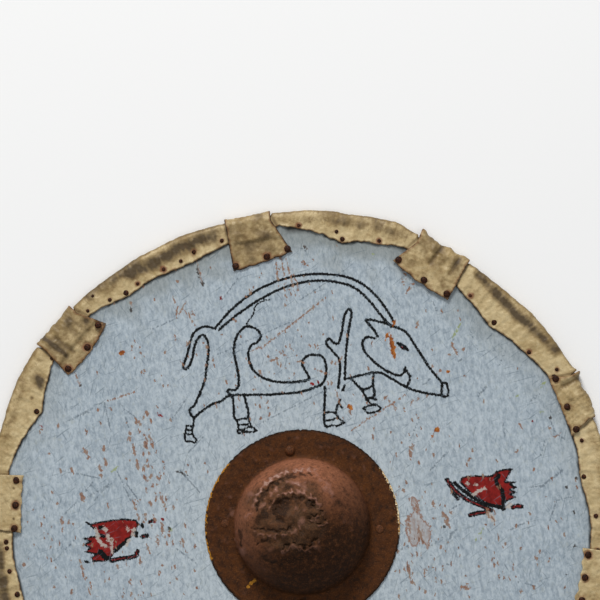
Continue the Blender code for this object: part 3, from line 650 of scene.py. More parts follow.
def nearest_stroke(places, strokes, smooth=False):
    """Distance in millimetres to the nearest of some strokes, each a line and its half width, negative
    inside."""
    lines = [(smooth_line(line) if smooth else np.array(line, float), half) for line, half in strokes]
    return np.min([line_distance(places, line) - half for line, half in lines], axis=0)


def nearest_scratch(places, scratches):
    """Distance in millimetres to the nearest of some straight scratches, negative inside."""
    ends = [(from_photo([(x0, y0), (x1, y1)]) / MM, half) for x0, y0, x1, y1, half in scratches]
    return nearest_stroke(places, ends)


def figure_fields(places):
    """Fields in millimetres, negative inside: dark and red paint, bare flakes, pale worn strokes, bruises,
    rubbed paint, nicks, rust and green."""
    boar = [(line, LINE_HALF_MM) for line in BOAR_LINES] + [(BOAR_FAINT_LINE, LINE_HALF_MM * 0.5)]
    feet = [(from_photo(line) / MM, LINE_HALF_MM * 0.8) for line in BOAR_FEET_PX]
    outlines = (np.array(outline, float) for outline in (RIGHT_HEAD, LEFT_HEAD, BOAR_EYE))
    heads = [outline_distance(places, outline) for outline in outlines]
    red = np.min([*heads, nearest_stroke(places, RIGHT_TONGUES + LEFT_TONGUES, True)], axis=0)
    edge = np.abs(red + 0.3) - 0.8
    straps = nearest_stroke(places, RIGHT_STRAPS + LEFT_STRAPS, True)
    dark = np.min([nearest_stroke(places, boar, True), nearest_stroke(places, feet), edge, straps], axis=0)
    bare = np.minimum(nearest_flake(places, FLAKES_PX), nearest_scratch(places, SCRATCHES_PX))
    uneven = ripple(places, 5.0, 11) * 0.35 + ripple(places, 2.6, 12) * 0.2
    return {
        "dark": dark + uneven * 0.25,
        "red": np.minimum(red, nearest_flake(places, RED_MARKS_PX)) + uneven * 0.5,
        "bare": bare + uneven * 1.2,
        "pale": nearest_stroke(places, PALE_STROKES, True) + uneven,
        "bruise": nearest_scratch(places, BRUISES_PX) + uneven * 0.5,
        "rubbed": outline_distance(places, from_photo(RUBBED_PX) / MM) + uneven * 1.5,
        "nick": nearest_flake(places, NICKS_PX) + uneven,
        "rust": nearest_flake(places, RUST_SPOTS_PX) + uneven,
        "green": nearest_flake(places, GREEN_SMEARS_PX) + uneven,
    }


# Rust flakes, green smears and small red marks, as the flakes above
RUST_SPOTS_PX = (
    (392.5, 347, 28, 4.6, 10), (394, 323, 7, 3.0, -20), (387, 336, 9, 3.0, -25), (437, 429.5, 6, 5.4, 45),
    (122, 353, 7, 4.6, -50), (350, 407, 7, 4.4, 40), (448, 372, 4, 3.0, 0), (432, 436, 6, 1.8, -30),
)
GREEN_SMEARS_PX = (
    (456.5, 331, 24, 2.0, -28), (543, 384, 10, 2.4, -30), (477, 536, 22, 1.6, -35), (541, 412, 5, 2.0, 80),
    (517, 396, 6, 1.6, -40), (373, 254, 3, 2.2, 0), (115, 469, 10, 2.0, -50), (171, 529, 5, 3.2, 20),
)
RED_MARKS_PX = (
    (160.5, 415.2, 8, 2.0, 50), (42.2, 426.8, 6, 2.4, 50), (312, 384, 6, 2.8, 50), (532, 421, 4, 2.4, 0),
    (155, 521, 7, 2.4, 20), (163, 519, 4, 2.4, 60), (318, 382, 4, 1.6, 30), (221, 298, 5, 2.4, 0),
)


# Worn zones of the paint, as pixels: across, down, spread across, spread down, strength
WORN_PX = (
    (152, 470, 16, 60, 1.0), (417, 530, 16, 45, 1.1), (283, 285, 20, 24, 0.8), (280, 358, 34, 18, 0.7),
    (150, 560, 40, 30, 0.6), (350, 395, 50, 22, 0.35), (545, 560, 30, 45, 0.4), (480, 555, 30, 35, 0.4),
    (100, 575, 30, 30, 0.5), (235, 400, 25, 25, 0.35), (60, 560, 20, 40, 0.4), (300, 660, 110, 40, 0.5),
)


def worn_share(places):
    """How worn the paint is, from 0 up: a sum of soft spots, each falling off as a bell from its middle."""
    total = 0.07 + 0.08 * ripple(places, 90.0, 21)
    for across, down, wide, tall, strength in WORN_PX:
        gap = (places - from_photo((across, down)) / MM) / (wide * PIXEL_MM, tall * PIXEL_MM)
        total += strength * np.exp(-(gap**2).sum(-1) / 2)
    return np.clip(total, 0, 1.6)


def rim_darkening(places):
    """Darkening beside the rawhide: a soft grey band some 20 mm in from it, more at the top of the shield,
    and a painted shadow line against its cut line."""
    near = (rim_at(bearing_of(places), 1) - np.hypot(places[:, 0], places[:, 1]) * MM) / MM
    top = 0.18 + 0.72 * bell(bearing_of(places), 36)
    soft = bell(np.maximum(near, 0), 15.0 + 4.0 * ripple(places, 30, 22)) * top
    return np.clip(soft, 0, 1), bell(np.maximum(near - 0.6, 0), 0.8)


def make_paint(finish):
    """The coat of paint on the board's front: rings about the middle, close together where there are
    figures. The last row runs back under the coat, so that it is a closed thin sheet."""
    bearings = spaced((-103, 0.35), (-70, 0.50), (-55, 0.27), (36, 0.50), (66, 0.35), (92, 2.0), 257)[:-1]
    radii = spaced((PAINT_INNER, 8), (98, 1.45), (265, 2.2), (300, 8), PAINT_OUTER)
    under = BOARD_FRONT + PAINT_LIFT
    flat = polar(bearings[None, :], radii[:, None])
    front = np.concatenate([flat * MM, np.full(flat.shape[:2] + (1,), under + PAINT_THICKNESS)], -1)
    back = front[[-1, 0]].copy()
    back[..., 2] = under
    points = np.concatenate([front, back])
    places = points.reshape(-1, 3)[:, :2] / MM
    fields = figure_fields(places)
    fields["worn"] = worn_share(places)
    fields["rim_darkening"], fields["rim_painted_shadow"] = rim_darkening(places)
    faces = grid_faces(*points.shape[:2], close_rows=True, close_columns=True)
    piece("board_paint_coat", points, faces, finish, 60, fields)


# The paint's blues: its ground, its pale and deep grain, and its chalkiest and darkest specks
PAINT_LIGHT, PAINT_MID = "#A9B5BE", "#9DAAB4"
PAINT_PALE, PAINT_DEEP = "#BCC6CD", "#85919C"
PAINT_CHALK, PAINT_SHADE = "#C4CDD0", "#72818C"
# Degrees that the wood's grain leans, to the left where it is below zero
GRAIN_LEAN = -9
# The fields that the paint reads
PAINT_FIELDS = (
    "rim_darkening", "rim_painted_shadow", "red", "dark", "pale", "bruise", "bare", "worn", "rubbed", "rust", "green",
    "nick",
)
# Fine scratches every way: width and length in millimetres, turn in degrees, and how few
FINE_SCRATCHES = ((1.5, 26, 52, 0.68), (1.4, 18, -38, 0.69), (1.5, 24, 14, 0.68), (1.6, 30, 74, 0.69))
# Random flakes: cell width and length in millimetres, share of a cell, offset, and the share of cells that
# flake where the paint is well worn
FLAKE_CELLS = ((4.0, 9.0, 0.24, 3.0, 0.095), (5.0, 17.0, 0.16, 8.0, 0.085), (2.4, 4.6, 0.30, 17.0, 0.055))


def paint_finish():
    """Milk paint on plywood: matt and a little uneven. The wood's fine grain shows through as streaks,
    scratches run every way, and it has flaked along the grain down to pinkish bare wood."""
    made, tree, shader, place = material("milk_paint_on_plywood")
    lie = add(tree, "Mapping", place, (0, 0, 0), (0, 0, math.radians(GRAIN_LEAN)), (1, 1, 1))
    broad = blotches(tree, lie, (90, 140, 90), 3)
    streak = blotches(tree, lie, (2.6, 46, 3), 3, 0.5)
    grain = blotches(tree, lie, (3.4, 7.0, 3), 4, 1.0)
    fibre = blotches(tree, lie, (1.5, 2.6, 2), 2, 2.0)
    mottle = blotches(tree, lie, (5, 7, 7), 5, 3.0)
    speck = blotches(tree, place, 1.9, 3, 4.0, 0.7)
    from_boss = add(tree, "VectorMath", place, operation="LENGTH")

    # What is painted or worn follows the fibres at its edge: fully, or a little less if it is a drawn line
    rub = add(tree, "MapRange", fibre, 0.30, 0.75, -0.9, 0.9)
    line_rub = add(tree, "Math", rub, 0.72, operation="MULTIPLY")
    on = {name: add(tree, "Attribute", out=2, attribute_name=name) for name in PAINT_FIELDS}
    for name in ("red", "bare", "rust", "green", "nick", "dark", "bruise"):
        depth = line_rub if name in ("dark", "bruise") else rub
        on[name] = add(tree, "Math", on[name], depth, operation="ADD")
    pale = frayed(tree, on["pale"], speck, -1.3, 1.5)
    rubbed = frayed(tree, on["rubbed"], speck, -1.2, 1.2)

    colour = coats(
        tree, linear(PAINT_LIGHT),
        (broad, 0.35, 0.65, 1.0, PAINT_MID),
        # Paler towards the boss, within 200 mm of the shield's middle
        (from_boss, 0.200, 0.100, 0.40, PAINT_CHALK),
        (streak, 0.48, 0.68, 0.28, PAINT_PALE),
        (streak, 0.48, 0.30, 0.32, PAINT_DEEP),
        (grain, 0.48, 0.68, 0.65, PAINT_PALE),
        (grain, 0.50, 0.32, 0.62, PAINT_DEEP),
        (mottle, 0.46, 0.26, 0.45, PAINT_DEEP),
        (fibre, 0.54, 0.74, 0.42, PAINT_CHALK),
        (fibre, 0.46, 0.28, 0.36, PAINT_SHADE),
        (mottle, 0.56, 0.75, 0.40, "#A9AEA6"),
        (speck, 0.62, 0.76, 0.60, "#68737A"),
        (speck, 0.38, 0.24, 0.45, PAINT_CHALK),
        # A darker grey band beside the rawhide, and a painted shadow line along its cut line
        (on["rim_darkening"], 0.0, 1.0, 0.75, "#75766C"),
        (on["rim_painted_shadow"], 0.1, 0.9, 0.9, "#25221D"),
        (on["red"], 0.40, -0.40, 1.0, coats(tree, linear("#8C1D18"), (mottle, 0.35, 0.7, 1.0, "#5E1210"))),
        (on["dark"], 0.40, -0.25, 1.0, "#07090A"),
        (pale, 0.4, -0.4, 0.85, "#B3ABA3"),
    )

    for wide, long, turn, few in FINE_SCRATCHES:
        askew = add(tree, "Mapping", place, (0, 0, 0), (0, 0, math.radians(turn)), (1, 1, 1))
        scratch = blotches(tree, askew, (wide, long, 2), 1, turn)
        colour = coats(tree, colour, (scratch, few, few + 0.07, 0.50, "#5F6C76"))

    # Random flakes: a cell is kept where its own number is high for how worn the paint is
    bend = add(tree, "TexNoise", place, 240.0, 3.0, 0.6, out=1)
    bent = add(tree, "Mix", 0.0032, lie, bend, data_type="RGBA", blend_type="LINEAR_LIGHT")
    bare = add(tree, "MapRange", on["bare"], 0.5, -0.3)
    for wide, long, size, seed, share in FLAKE_CELLS:
        laid = add(tree, "Mapping", bent, (seed, seed, 0), (0, 0, 0), (1 / (wide * MM), 1 / (long * MM), 1))
        cell = add(tree, "TexVoronoi", laid, 1.0, voronoi_dimensions="2D")
        number = add(tree, "SeparateColor", cell.node.outputs["Color"])
        limit = add(tree, "Math", on["worn"], -share, 1.0, operation="MULTIPLY_ADD")
        kept = add(tree, "Math", number, limit, operation="GREATER_THAN")
        grown = add(tree, "MapRange", number, 1.0 - share, 1.0, 0.55 * size, 1.25 * size)
        near = add(tree, "Math", cell, grown, operation="SUBTRACT")
        bare = add(tree, "Math", bare, faded(tree, kept, near, 0.04, -0.05), operation="MAXIMUM")

    wood = coats(
        tree, linear("#976B50"),
        (fibre, 0.35, 0.65, 1.0, "#654333"),
        (mottle, 0.42, 0.60, 1.0, "#8F7868"),
    )
    iron_rust = coats(tree, linear("#AD6B2C"), (mottle, 0.4, 0.6, 1.0, "#7A3F1C"))
    worn_through = add(tree, "MapRange", grain, 0.30, 0.62, 0.85, 0.25)
    rubbed_edge = add(tree, "Math", add(tree, "Math", rubbed, 0.6, operation="ADD"), operation="ABSOLUTE")
    colour = coats(
        tree, colour,
        (on["bruise"], 0.45, -0.35, 0.62, "#55606A"),
        (faded(tree, worn_through, rubbed, 0.5, -0.4), 0.0, 1.0, 1.0, "#9C867B"),
        (rubbed_edge, 1.2, 0.5, 0.75, "#8A6450"),
        (bare, 0.0, 1.0, 0.90, wood),
        (on["rust"], 0.5, -0.3, 1.0, iron_rust),
        (on["green"], 0.6, -0.5, 0.8, "#8F9A62"),
        (on["nick"], 0.5, -0.4, 0.88, "#37302A"),
    )
    rough = add(tree, "MapRange", mottle, 0.3, 0.7, 0.60, 0.76)
    height = relief_of(tree, (grain, 0.35), (fibre, 0.25), (bare, -0.5))
    finish_with(tree, shader, colour, rough, height, 0.15, 0.14)
    return made


# Rawhide: wet skin folded over the rim and dried hard

# The edging's inner line and outer line, as bearing and pixels from the shield's middle
EDGING_INNER_PX = (
    (-104.7, 283), (-100.6, 284), (-97, 285.5), (-94.3, 286.2), (-92, 285.2), (-79, 294.5), (-75.8, 292.6),
    (-72.7, 289.7), (-69.2, 285.3), (-66, 281), (-64.4, 283.3), (-62, 287.8), (-59.7, 290.2), (-57.3, 294.4),
    (-55.9, 295.9), (-44.6, 297.5), (-42.1, 295), (-38.9, 290), (-36.2, 286.8), (-33.4, 287.3), (-30.7, 288),
    (-27.7, 286), (-24.1, 285), (-21, 285.5), (-19.6, 287), (-17, 289), (-14, 292), (-3.6, 301.8), (0.6, 298),
    (3.7, 294.8), (6.8, 290), (8.7, 287), (10.8, 290.5), (12.8, 293), (15.8, 293.3), (18.4, 296.8),
    (20.6, 298.7), (33.1, 288), (35.4, 284.6), (39, 281.5), (41.4, 278.6), (43.5, 276.6), (46, 279.6),
    (48.7, 282.6), (51.5, 284.2), (56.3, 289), (58.8, 291), (61.5, 291.4), (71.3, 287.6), (73.7, 288),
    (76.2, 287), (79, 284.8), (81.3, 285), (84.8, 288), (87.6, 290), (90.3, 291), (92, 290.5),
)
EDGING_OUTER_PX = (
    (-103, 315), (-78, 313), (-76, 312), (-72.7, 313.1), (-69.2, 313.8), (-65.8, 315.6), (-62.3, 317.3),
    (-59.1, 317.5), (-56.1, 317.9), (-45.4, 315.4), (-41.6, 314.9), (-35.9, 313.6), (-31.8, 314.2),
    (-26, 313.4), (-22, 314.3), (-20.5, 313.8), (-17, 313.2), (-14, 312.6), (-4.7, 315.2), (-1.3, 315.9),
    (2.6, 317.4), (5.6, 317.8), (8.4, 317), (11.8, 317.8), (14.2, 319.2), (17.9, 320), (21.4, 316.6),
    (24, 316), (32.9, 314.3), (38.1, 313.2), (43.1, 313.9), (46.7, 315.6), (50.8, 316.2), (55.2, 315.8),
    (60, 316.6), (62, 316.8), (70, 314), (92, 313.5),
)

# Grime along the outer bend: bearing, spread in degrees, strength
GRIME = (
    (11, 10, 0.45), (-27, 12, 0.35), (-64, 9, 0.25), (-97, 5, 0.6), (84, 8, 0.25), (120, 9, 0.5),
    (158, 8, 0.6), (196, 7, 0.4), (228, 9, 0.6), (262, 6, 0.5),
)
# Long smears of grime, as pixels, with their half width in millimetres and strength
SMEARS_PX = (
    (((479, 274), (489, 285), (503, 301), (520, 318), (538, 333), (556, 351)), 3.2, 1.1),
    (((500, 298), (518, 316), (530, 327)), 5.0, 0.35),
    (((90, 296), (101, 287), (117, 277.5), (131, 271)), 3.0, 0.65),
    (((131, 273), (154, 264), (168, 257), (185, 248), (200, 241), (213, 237)), 5.4, 1.0),
    (((1, 546), (4, 570), (8, 600)), 3.0, 1.1),
    (((44, 338.5), (51, 343.5), (57, 348), (64, 353), (67, 357)), 1.7, 0.9),
    (((236, 243), (243, 244), (258, 241), (268, 236)), 2.0, 0.35),
)
# Grey stains on the rawhide, as pixels: across, down, spread in millimetres, strength
STAINS_PX = (
    (39.5, 382, 4.0, 1.2), (37, 377, 2.5, 0.6), (41.5, 388, 2.5, 0.7), (43, 380, 2.0, 0.5),
    (55, 348, 4.5, 0.35), (87, 321, 1.6, 0.6), (264, 234, 5.0, 0.4), (268, 246, 5.0, 0.35),
    (238, 236, 5, 0.3), (457, 262, 4.0, 0.6), (436, 249, 4.0, 0.55), (430, 238, 4.0, 0.5),
    (578, 377, 4.0, 0.5), (392, 236, 5.0, 0.35), (583, 392, 5.0, 0.35), (67, 324, 4.0, 0.5),
    (250, 262, 4, 0.3), (342, 221, 5, 0.45), (378, 224, 5.5, 0.45), (359, 227, 4, 0.35), (330, 216, 4, 0.3),
    (395, 229, 4, 0.35), (85, 321, 3, 0.5), (14.8, 488, 0.9, 1.2), (14.9, 518.5, 0.9, 1.2),
    (32.6, 397.7, 1.3, 0.8), (27, 415, 1.5, 0.5), (31, 434, 1.2, 0.5), (250, 250, 6, 0.3),
    (232, 228, 4, 0.35), (258, 218, 4, 0.3),
)

# Folds and ridges in the rawhide, as pixels from and to, half width and height in millimetres
EDGING_FOLDS_PX = (
    ((571, 373), (577, 370), 2.2, 2.4), ((566, 380), (578, 375), 1.8, -1.2),
    ((30, 390), (41, 397), 1.2, -0.7), ((160, 258), (165, 268), 1.4, 0.6),
    ((349, 214), (352, 232), 1.3, -0.5), ((92, 297), (101, 306), 1.4, 0.5),
)
PATCH_FOLDS_PX = (
    ((442.5, 246), (430.5, 263), 1.6, -1.1), ((437, 243), (428, 258), 1.4, 0.8),
    ((460, 258), (449.5, 274), 1.7, -1.2), ((455, 256), (446, 272), 1.5, 0.8),
    ((424, 232), (420, 240), 2.6, 1.6), ((462, 257), (467, 262), 2.4, 1.1),
    ((562, 381), (576, 373.5), 2.2, 2.2), ((562, 386), (577, 379), 2.0, -1.2),
    ((571, 398), (585, 392), 2.4, 0.9), ((580, 429), (593.5, 418), 1.0, -1.2),
    ((577, 424), (591, 412), 2.4, 0.7), ((582, 403), (590, 410), 2.4, 0.8), ((56, 338), (74, 352), 1.6, -0.8),
    ((58, 334), (79, 349), 1.8, 0.6), ((69, 318), (84, 330), 1.5, -0.6), ((227, 222), (231, 262), 1.6, 0.5),
    ((272, 217), (289, 246), 1.6, 0.6), ((238, 252), (262, 246), 2.2, -0.4),
)

# How grimy a patch is all over, and how brown its cut edges are
PATCH_GRIME = {
    1: (0.24, 1.0), 2: (0.21, 0.8), 3: (0.12, 0.7), 4: (0.02, 0.2), 9: (-0.06, 0.4), 10: (0.35, 0.8),
}

# Bumps of a patch's outer line: share of the way across, spread, and height in millimetres
RIM_BUMPS = {
    1: ((0.05, 0.25, -2.2), (0.45, 0.25, -2.6), (0.95, 0.12, 0.4)),
    2: ((0.02, 0.07, 2.4), (0.36, 0.10, -3.2), (0.52, 0.06, -1.0), (0.80, 0.16, -3.6), (1.0, 0.05, -1.5)),
    3: ((0.04, 0.06, 2.4), (0.28, 0.14, -3.4), (0.62, 0.10, 0.4), (0.95, 0.2, -2.6)),
    10: ((0.05, 0.10, 1.2), (0.55, 0.15, -0.6), (1.0, 0.08, 0.8)),
}

# Tacks along the edging, as pixels: across, down, radius of the head in millimetres, share of rust
EDGING_TACKS_PX = (
    (298.8, 226, 2.1, 1.0), (342.4, 239.2, 2.7, 0.5), (336.5, 231.6, 2.1, 0.4), (379.2, 240.9, 2.1, 0.9),
    (88, 311, 2.0, 0.4), (110, 300, 2.1, 0.6), (126.6, 294.1, 3.1, 0.2), (137.7, 283.8, 1.8, 0.9),
    (163.6, 269.3, 2.1, 1.0), (180.8, 261.2, 2.1, 0.5), (193.8, 252, 2.4, 0.6), (221.9, 240.7, 2.3, 0.5),
    (52.2, 358.4, 2.0, 0.3), (37.3, 411.5, 3.0, 0.2), (7.3, 541.5, 2.6, 0.5), (8, 547.7, 2.4, 0.5),
    (10.7, 570.6, 2.5, 0.5), (18.7, 593.6, 3.1, 0.3), (470.3, 296, 2.0, 1.0), (494, 322.6, 3.1, 0.2),
    (528.7, 352.3, 2.2, 0.8), (556.4, 369.7, 2.0, 0.7), (580.9, 440.5, 2.3, 0.6), (582.1, 476.7, 2.7, 0.3),
    (576.5, 478, 1.9, 0.4), (594.7, 515.6, 2.5, 0.5), (596.4, 550, 2.5, 0.5), (92.8, 296.2, 1.7, 0.1),
    (553.6, 376.6, 2.6, 0.3),
)
# Where the photograph ends, tacks go on every so many degrees of the rim
HIDDEN_RIM = (112, 256)
HIDDEN_TACK_STEP = 5.6

# Bearing that the table of the rim starts from, and the bearings between which the photograph shows it
RIM_START = -110.0
RIM_SHOWN = (-103.5, 93.0)
# Head radius of the patches' tacks in millimetres
PATCH_TACK_HALF = 3.7
# Columns of points along a strip of edging, and the fields that its material reads
EDGING_COLUMNS = 170
RAWHIDE_FIELDS = ("lip", "crease", "grime_and_shade", "rust", "brown")


def rim_knots():
    """Bearing, inner radius and outer radius of the edging all round: from the photograph where it shows
    the edging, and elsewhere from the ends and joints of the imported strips."""
    rows = []
    for number in NUMBERS:
        points = node_points(f"edging_{number}")
        middle = bearing_of(points[:, :2].mean(0))
        turn = turn_between(bearing_of(points[:, :2]), middle)
        radius = np.hypot(points[:, 0], points[:, 1])
        for column in np.linspace(turn.min(), turn.max(), 9)[1:-1]:
            near = np.abs(turn - column) < 0.02
            face = near & (points[:, 2] > BOARD_FRONT)
            bearing = (middle + column - RIM_START) % 360 + RIM_START
            rows.append((bearing, radius[face].min(), radius[near].max() + 0.25 * MM))
    shown = np.array([(b, r * PIXEL_MM * MM) for b, r in EDGING_INNER_PX])
    outer = np.array([(b, r * PIXEL_MM * MM) for b, r in EDGING_OUTER_PX])
    rows = [row for row in rows if not RIM_SHOWN[0] < row[0] < RIM_SHOWN[1]]
    rows += [(b, r, float(np.interp(b, outer[:, 0], outer[:, 1]))) for b, r in shown]
    rows += [(b, float(np.interp(b, shown[:, 0], shown[:, 1])), r) for b, r in outer if b not in shown[:, 0]]
    return np.array(sorted(rows))


RIM = rim_knots()


def rim_at(bearing, column):
    """Inner or outer radius of the edging at bearings, straight from knot to knot all round."""
    bearing = (np.asarray(bearing) - RIM_START) % 360 + RIM_START
    return np.interp(bearing, RIM[:, 0], RIM[:, column], period=360)


def patch_seams():
    """The two sides of every patch in plan, each from the rim to the inner end."""
    seams = []
    for number in NUMBERS:
        middle, rim_left, rim_right, ends, _ = patch_corners(f"patch_{number}")
        for rim, (turn, radius) in ((rim_left, ends[0]), (rim_right, ends[2])):
            seams.append(np.stack([polar(middle + rim, BOARD_RADIUS + 3 * MM), polar(middle + turn, radius)]))
    return seams


def rust_near(places, tacks):
    """Rust let out by tacks: each tack's share times a bell of its distance, the strongest of all."""
    total = np.zeros(places.shape[:-1])
    for east, north, radius, share in tacks:
        gap = np.hypot(places[..., 0] - east, places[..., 1] - north) / MM
        total = np.maximum(total, share * bell(np.maximum(gap - radius, 0), 0.8 + 0.30 * radius * share))
    return total


def folds_at(places, folds):
    """Height in metres of folds at places: each fold's height times a bell of the distance from its line."""
    total = np.zeros(places.shape[:-1])
    for start, end, half, rise in folds:
        line = smooth_line(from_photo([start, end]))
        total += rise * MM * bell(line_distance(places, line) / MM, half)
    return total


def stain_at(places):
    """Stain from 0 up: each spot's or smear's strength times a bell of the distance from its middle."""
    total = np.zeros(places.shape[:-1])
    for across, down, spread, strength in STAINS_PX:
        gap = np.hypot(*np.moveaxis(places - from_photo((across, down)), -1, 0)) / MM
        total += strength * bell(gap, spread)
    for pixels, half, strength in SMEARS_PX:
        total += strength * bell(line_distance(places, smooth_line(from_photo(pixels), 4)) / MM, half)
    return total


# Rows of a rawhide sheet: shares of the way along its face, degrees round a bend of the rim, and shares of
# the way along the back
FACE_ROWS = np.concatenate([[0, 0.012, 0.035, 0.07], np.linspace(0.11, 1, 23)])
FOLD_ROWS = np.array([12, 25, 38, 51, 64, 77, 90.0])
BACK_ROWS = np.concatenate([[0.0], np.linspace(0.15, 0.96, 7), [1.0]])


def round_the_rim(wall, off, reach_back):
    """The part of a sheet's section from its front bend on: round the rim, where it swells out to the
    wall's radius, and along the back. Radius, height, outward radius and outward height, each with a row
    for each of the wall's. off is how far the sheet's side lies off the board."""
    reach = EDGE_ROUND + off
    bend = BOARD_RADIUS - EDGE_ROUND
    every = np.ones_like(wall)
    parts = []
    for side, corner in ((1, BOARD_FRONT - EDGE_ROUND), (-1, BOARD_BACK + EDGE_ROUND)):
        turn = np.radians(FOLD_ROWS[::side])[None, :]
        out, up = np.sin(turn), side * np.cos(turn)
        radius = bend + reach * out + (wall - bend - reach) * eased(0, 45, np.degrees(turn))
        parts.append((radius, every * (corner + reach * up), every * out, every * up))
    tail = every * (bend - reach_back * BACK_ROWS)
    parts.append((tail, np.full_like(tail, BOARD_BACK - off), np.zeros_like(tail), -np.ones_like(tail)))
    return [np.concatenate(each, 1) for each in zip(*parts)]


def with_face(face, height, rest):
    """A face's row of heights, lying flat, before the part of the section that goes round the rim."""
    first = (np.broadcast_to(height, face), np.zeros(face), np.ones(face))
    return [np.concatenate(pair, 1) for pair in zip(first, rest)]


def patch_spans():
    """Middle bearing and half width in degrees of every patch at the rim, and its outline in plan."""
    spans = []
    for number in NUMBERS:
        middle, left, right, ends, _ = patch_corners(f"patch_{number}")
        rim = [polar(middle + turn, BOARD_RADIUS + 8 * MM) for turn in np.linspace(left, right, 5)]
        inner = [polar(middle + turn, radius) for turn, radius in reversed(ends)]
        spans.append((middle + (left + right) / 2, (right - left) / 2, np.array(rim + inner)))
    return spans


def clear_at_rim(bearing, spans):
    """1 where the rim is out in the open, 0 under a patch and close beside it."""
    clear = np.ones_like(bearing)
    for middle, half, _ in spans:
        clear = np.minimum(clear, eased(half, half + 0.35, np.abs(turn_between(bearing, middle))))
    return clear


def clear_of_patches(places, spans):
    """1 out in the open, 0 under a patch and close beside it, for places in plan."""
    flat = places.reshape(-1, 2)
    clear = np.ones(len(flat))
    for _, _, outline in spans:
        clear = np.minimum(clear, eased(0.6 * MM, 3.5 * MM, outline_distance(flat, outline)))
    return clear.reshape(places.shape[:-1])


def edging_tacks():
    """East, north, head radius in millimetres, and rust of the tacks along the edging: each at least its
    own radius and a little more inside the cut line."""
    tacks = []
    for across, down, radius, share in EDGING_TACKS_PX:
        east, north = from_photo((across, down))
        tacks.append((bearing_of(np.array([east, north])), math.hypot(east, north), radius, share))
    rng = np.random.default_rng(77)
    spans = patch_spans()
    for bearing in np.arange(*HIDDEN_RIM, HIDDEN_TACK_STEP):
        at = bearing + rng.uniform(-1.2, 1.2)
        radius = float(rim_at(at, 1)) + rng.uniform(3.6, 6.0) * MM
        if clear_of_patches(polar(at, radius), spans) > 0.9:
            tacks.append((at, radius, rng.choice([2.1, 2.4, 3.0]), rng.uniform(0.6, 1.1)))
    placed = []
    for bearing, radius, head, share in tacks:
        radius = max(radius, float(rim_at(bearing, 1)) + (head + 0.9) * MM)
        placed.append((*polar(bearing, radius), head, share))
    return placed


def patch_tacks():
    """East, north, head radius in millimetres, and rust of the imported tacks."""
    rng = np.random.default_rng(5)
    places = []
    for name in PATCH_TACKS:
        low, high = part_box(name)
        middle = (low.x + high.x) / 2, (low.y + high.y) / 2
        places.append((*middle, PATCH_TACK_HALF, rng.uniform(0.35, 0.8)))
    return places


def pinch_at(places, tacks, spread):
    """How far tacks hold the rawhide down: a bell of the distance from the nearest head."""
    nearest = np.full(places.shape[:-1], np.inf)
    for east, north, head, _ in tacks:
        gap = np.hypot(places[..., 0] - east, places[..., 1] - north) / MM - head
        nearest = np.minimum(nearest, gap)
    return bell(np.maximum(nearest, 0), spread)


def folded_sheet(name, sides, shades, finish):
    """A bent sheet from the points and fields of its outer and inner sides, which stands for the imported
    solid."""
    points = np.concatenate([sides[0], sides[1][:, ::-1]], 1)
    fields = {key: np.concatenate([shades[0][key], shades[1][key][:, ::-1]], 1) for key in shades[0]}
    faces = sheet_faces(len(points), points.shape[1] // 2).tolist()
    made = piece(name + "_rawhide", points, faces, finish, 60, fields)
    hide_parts(name)


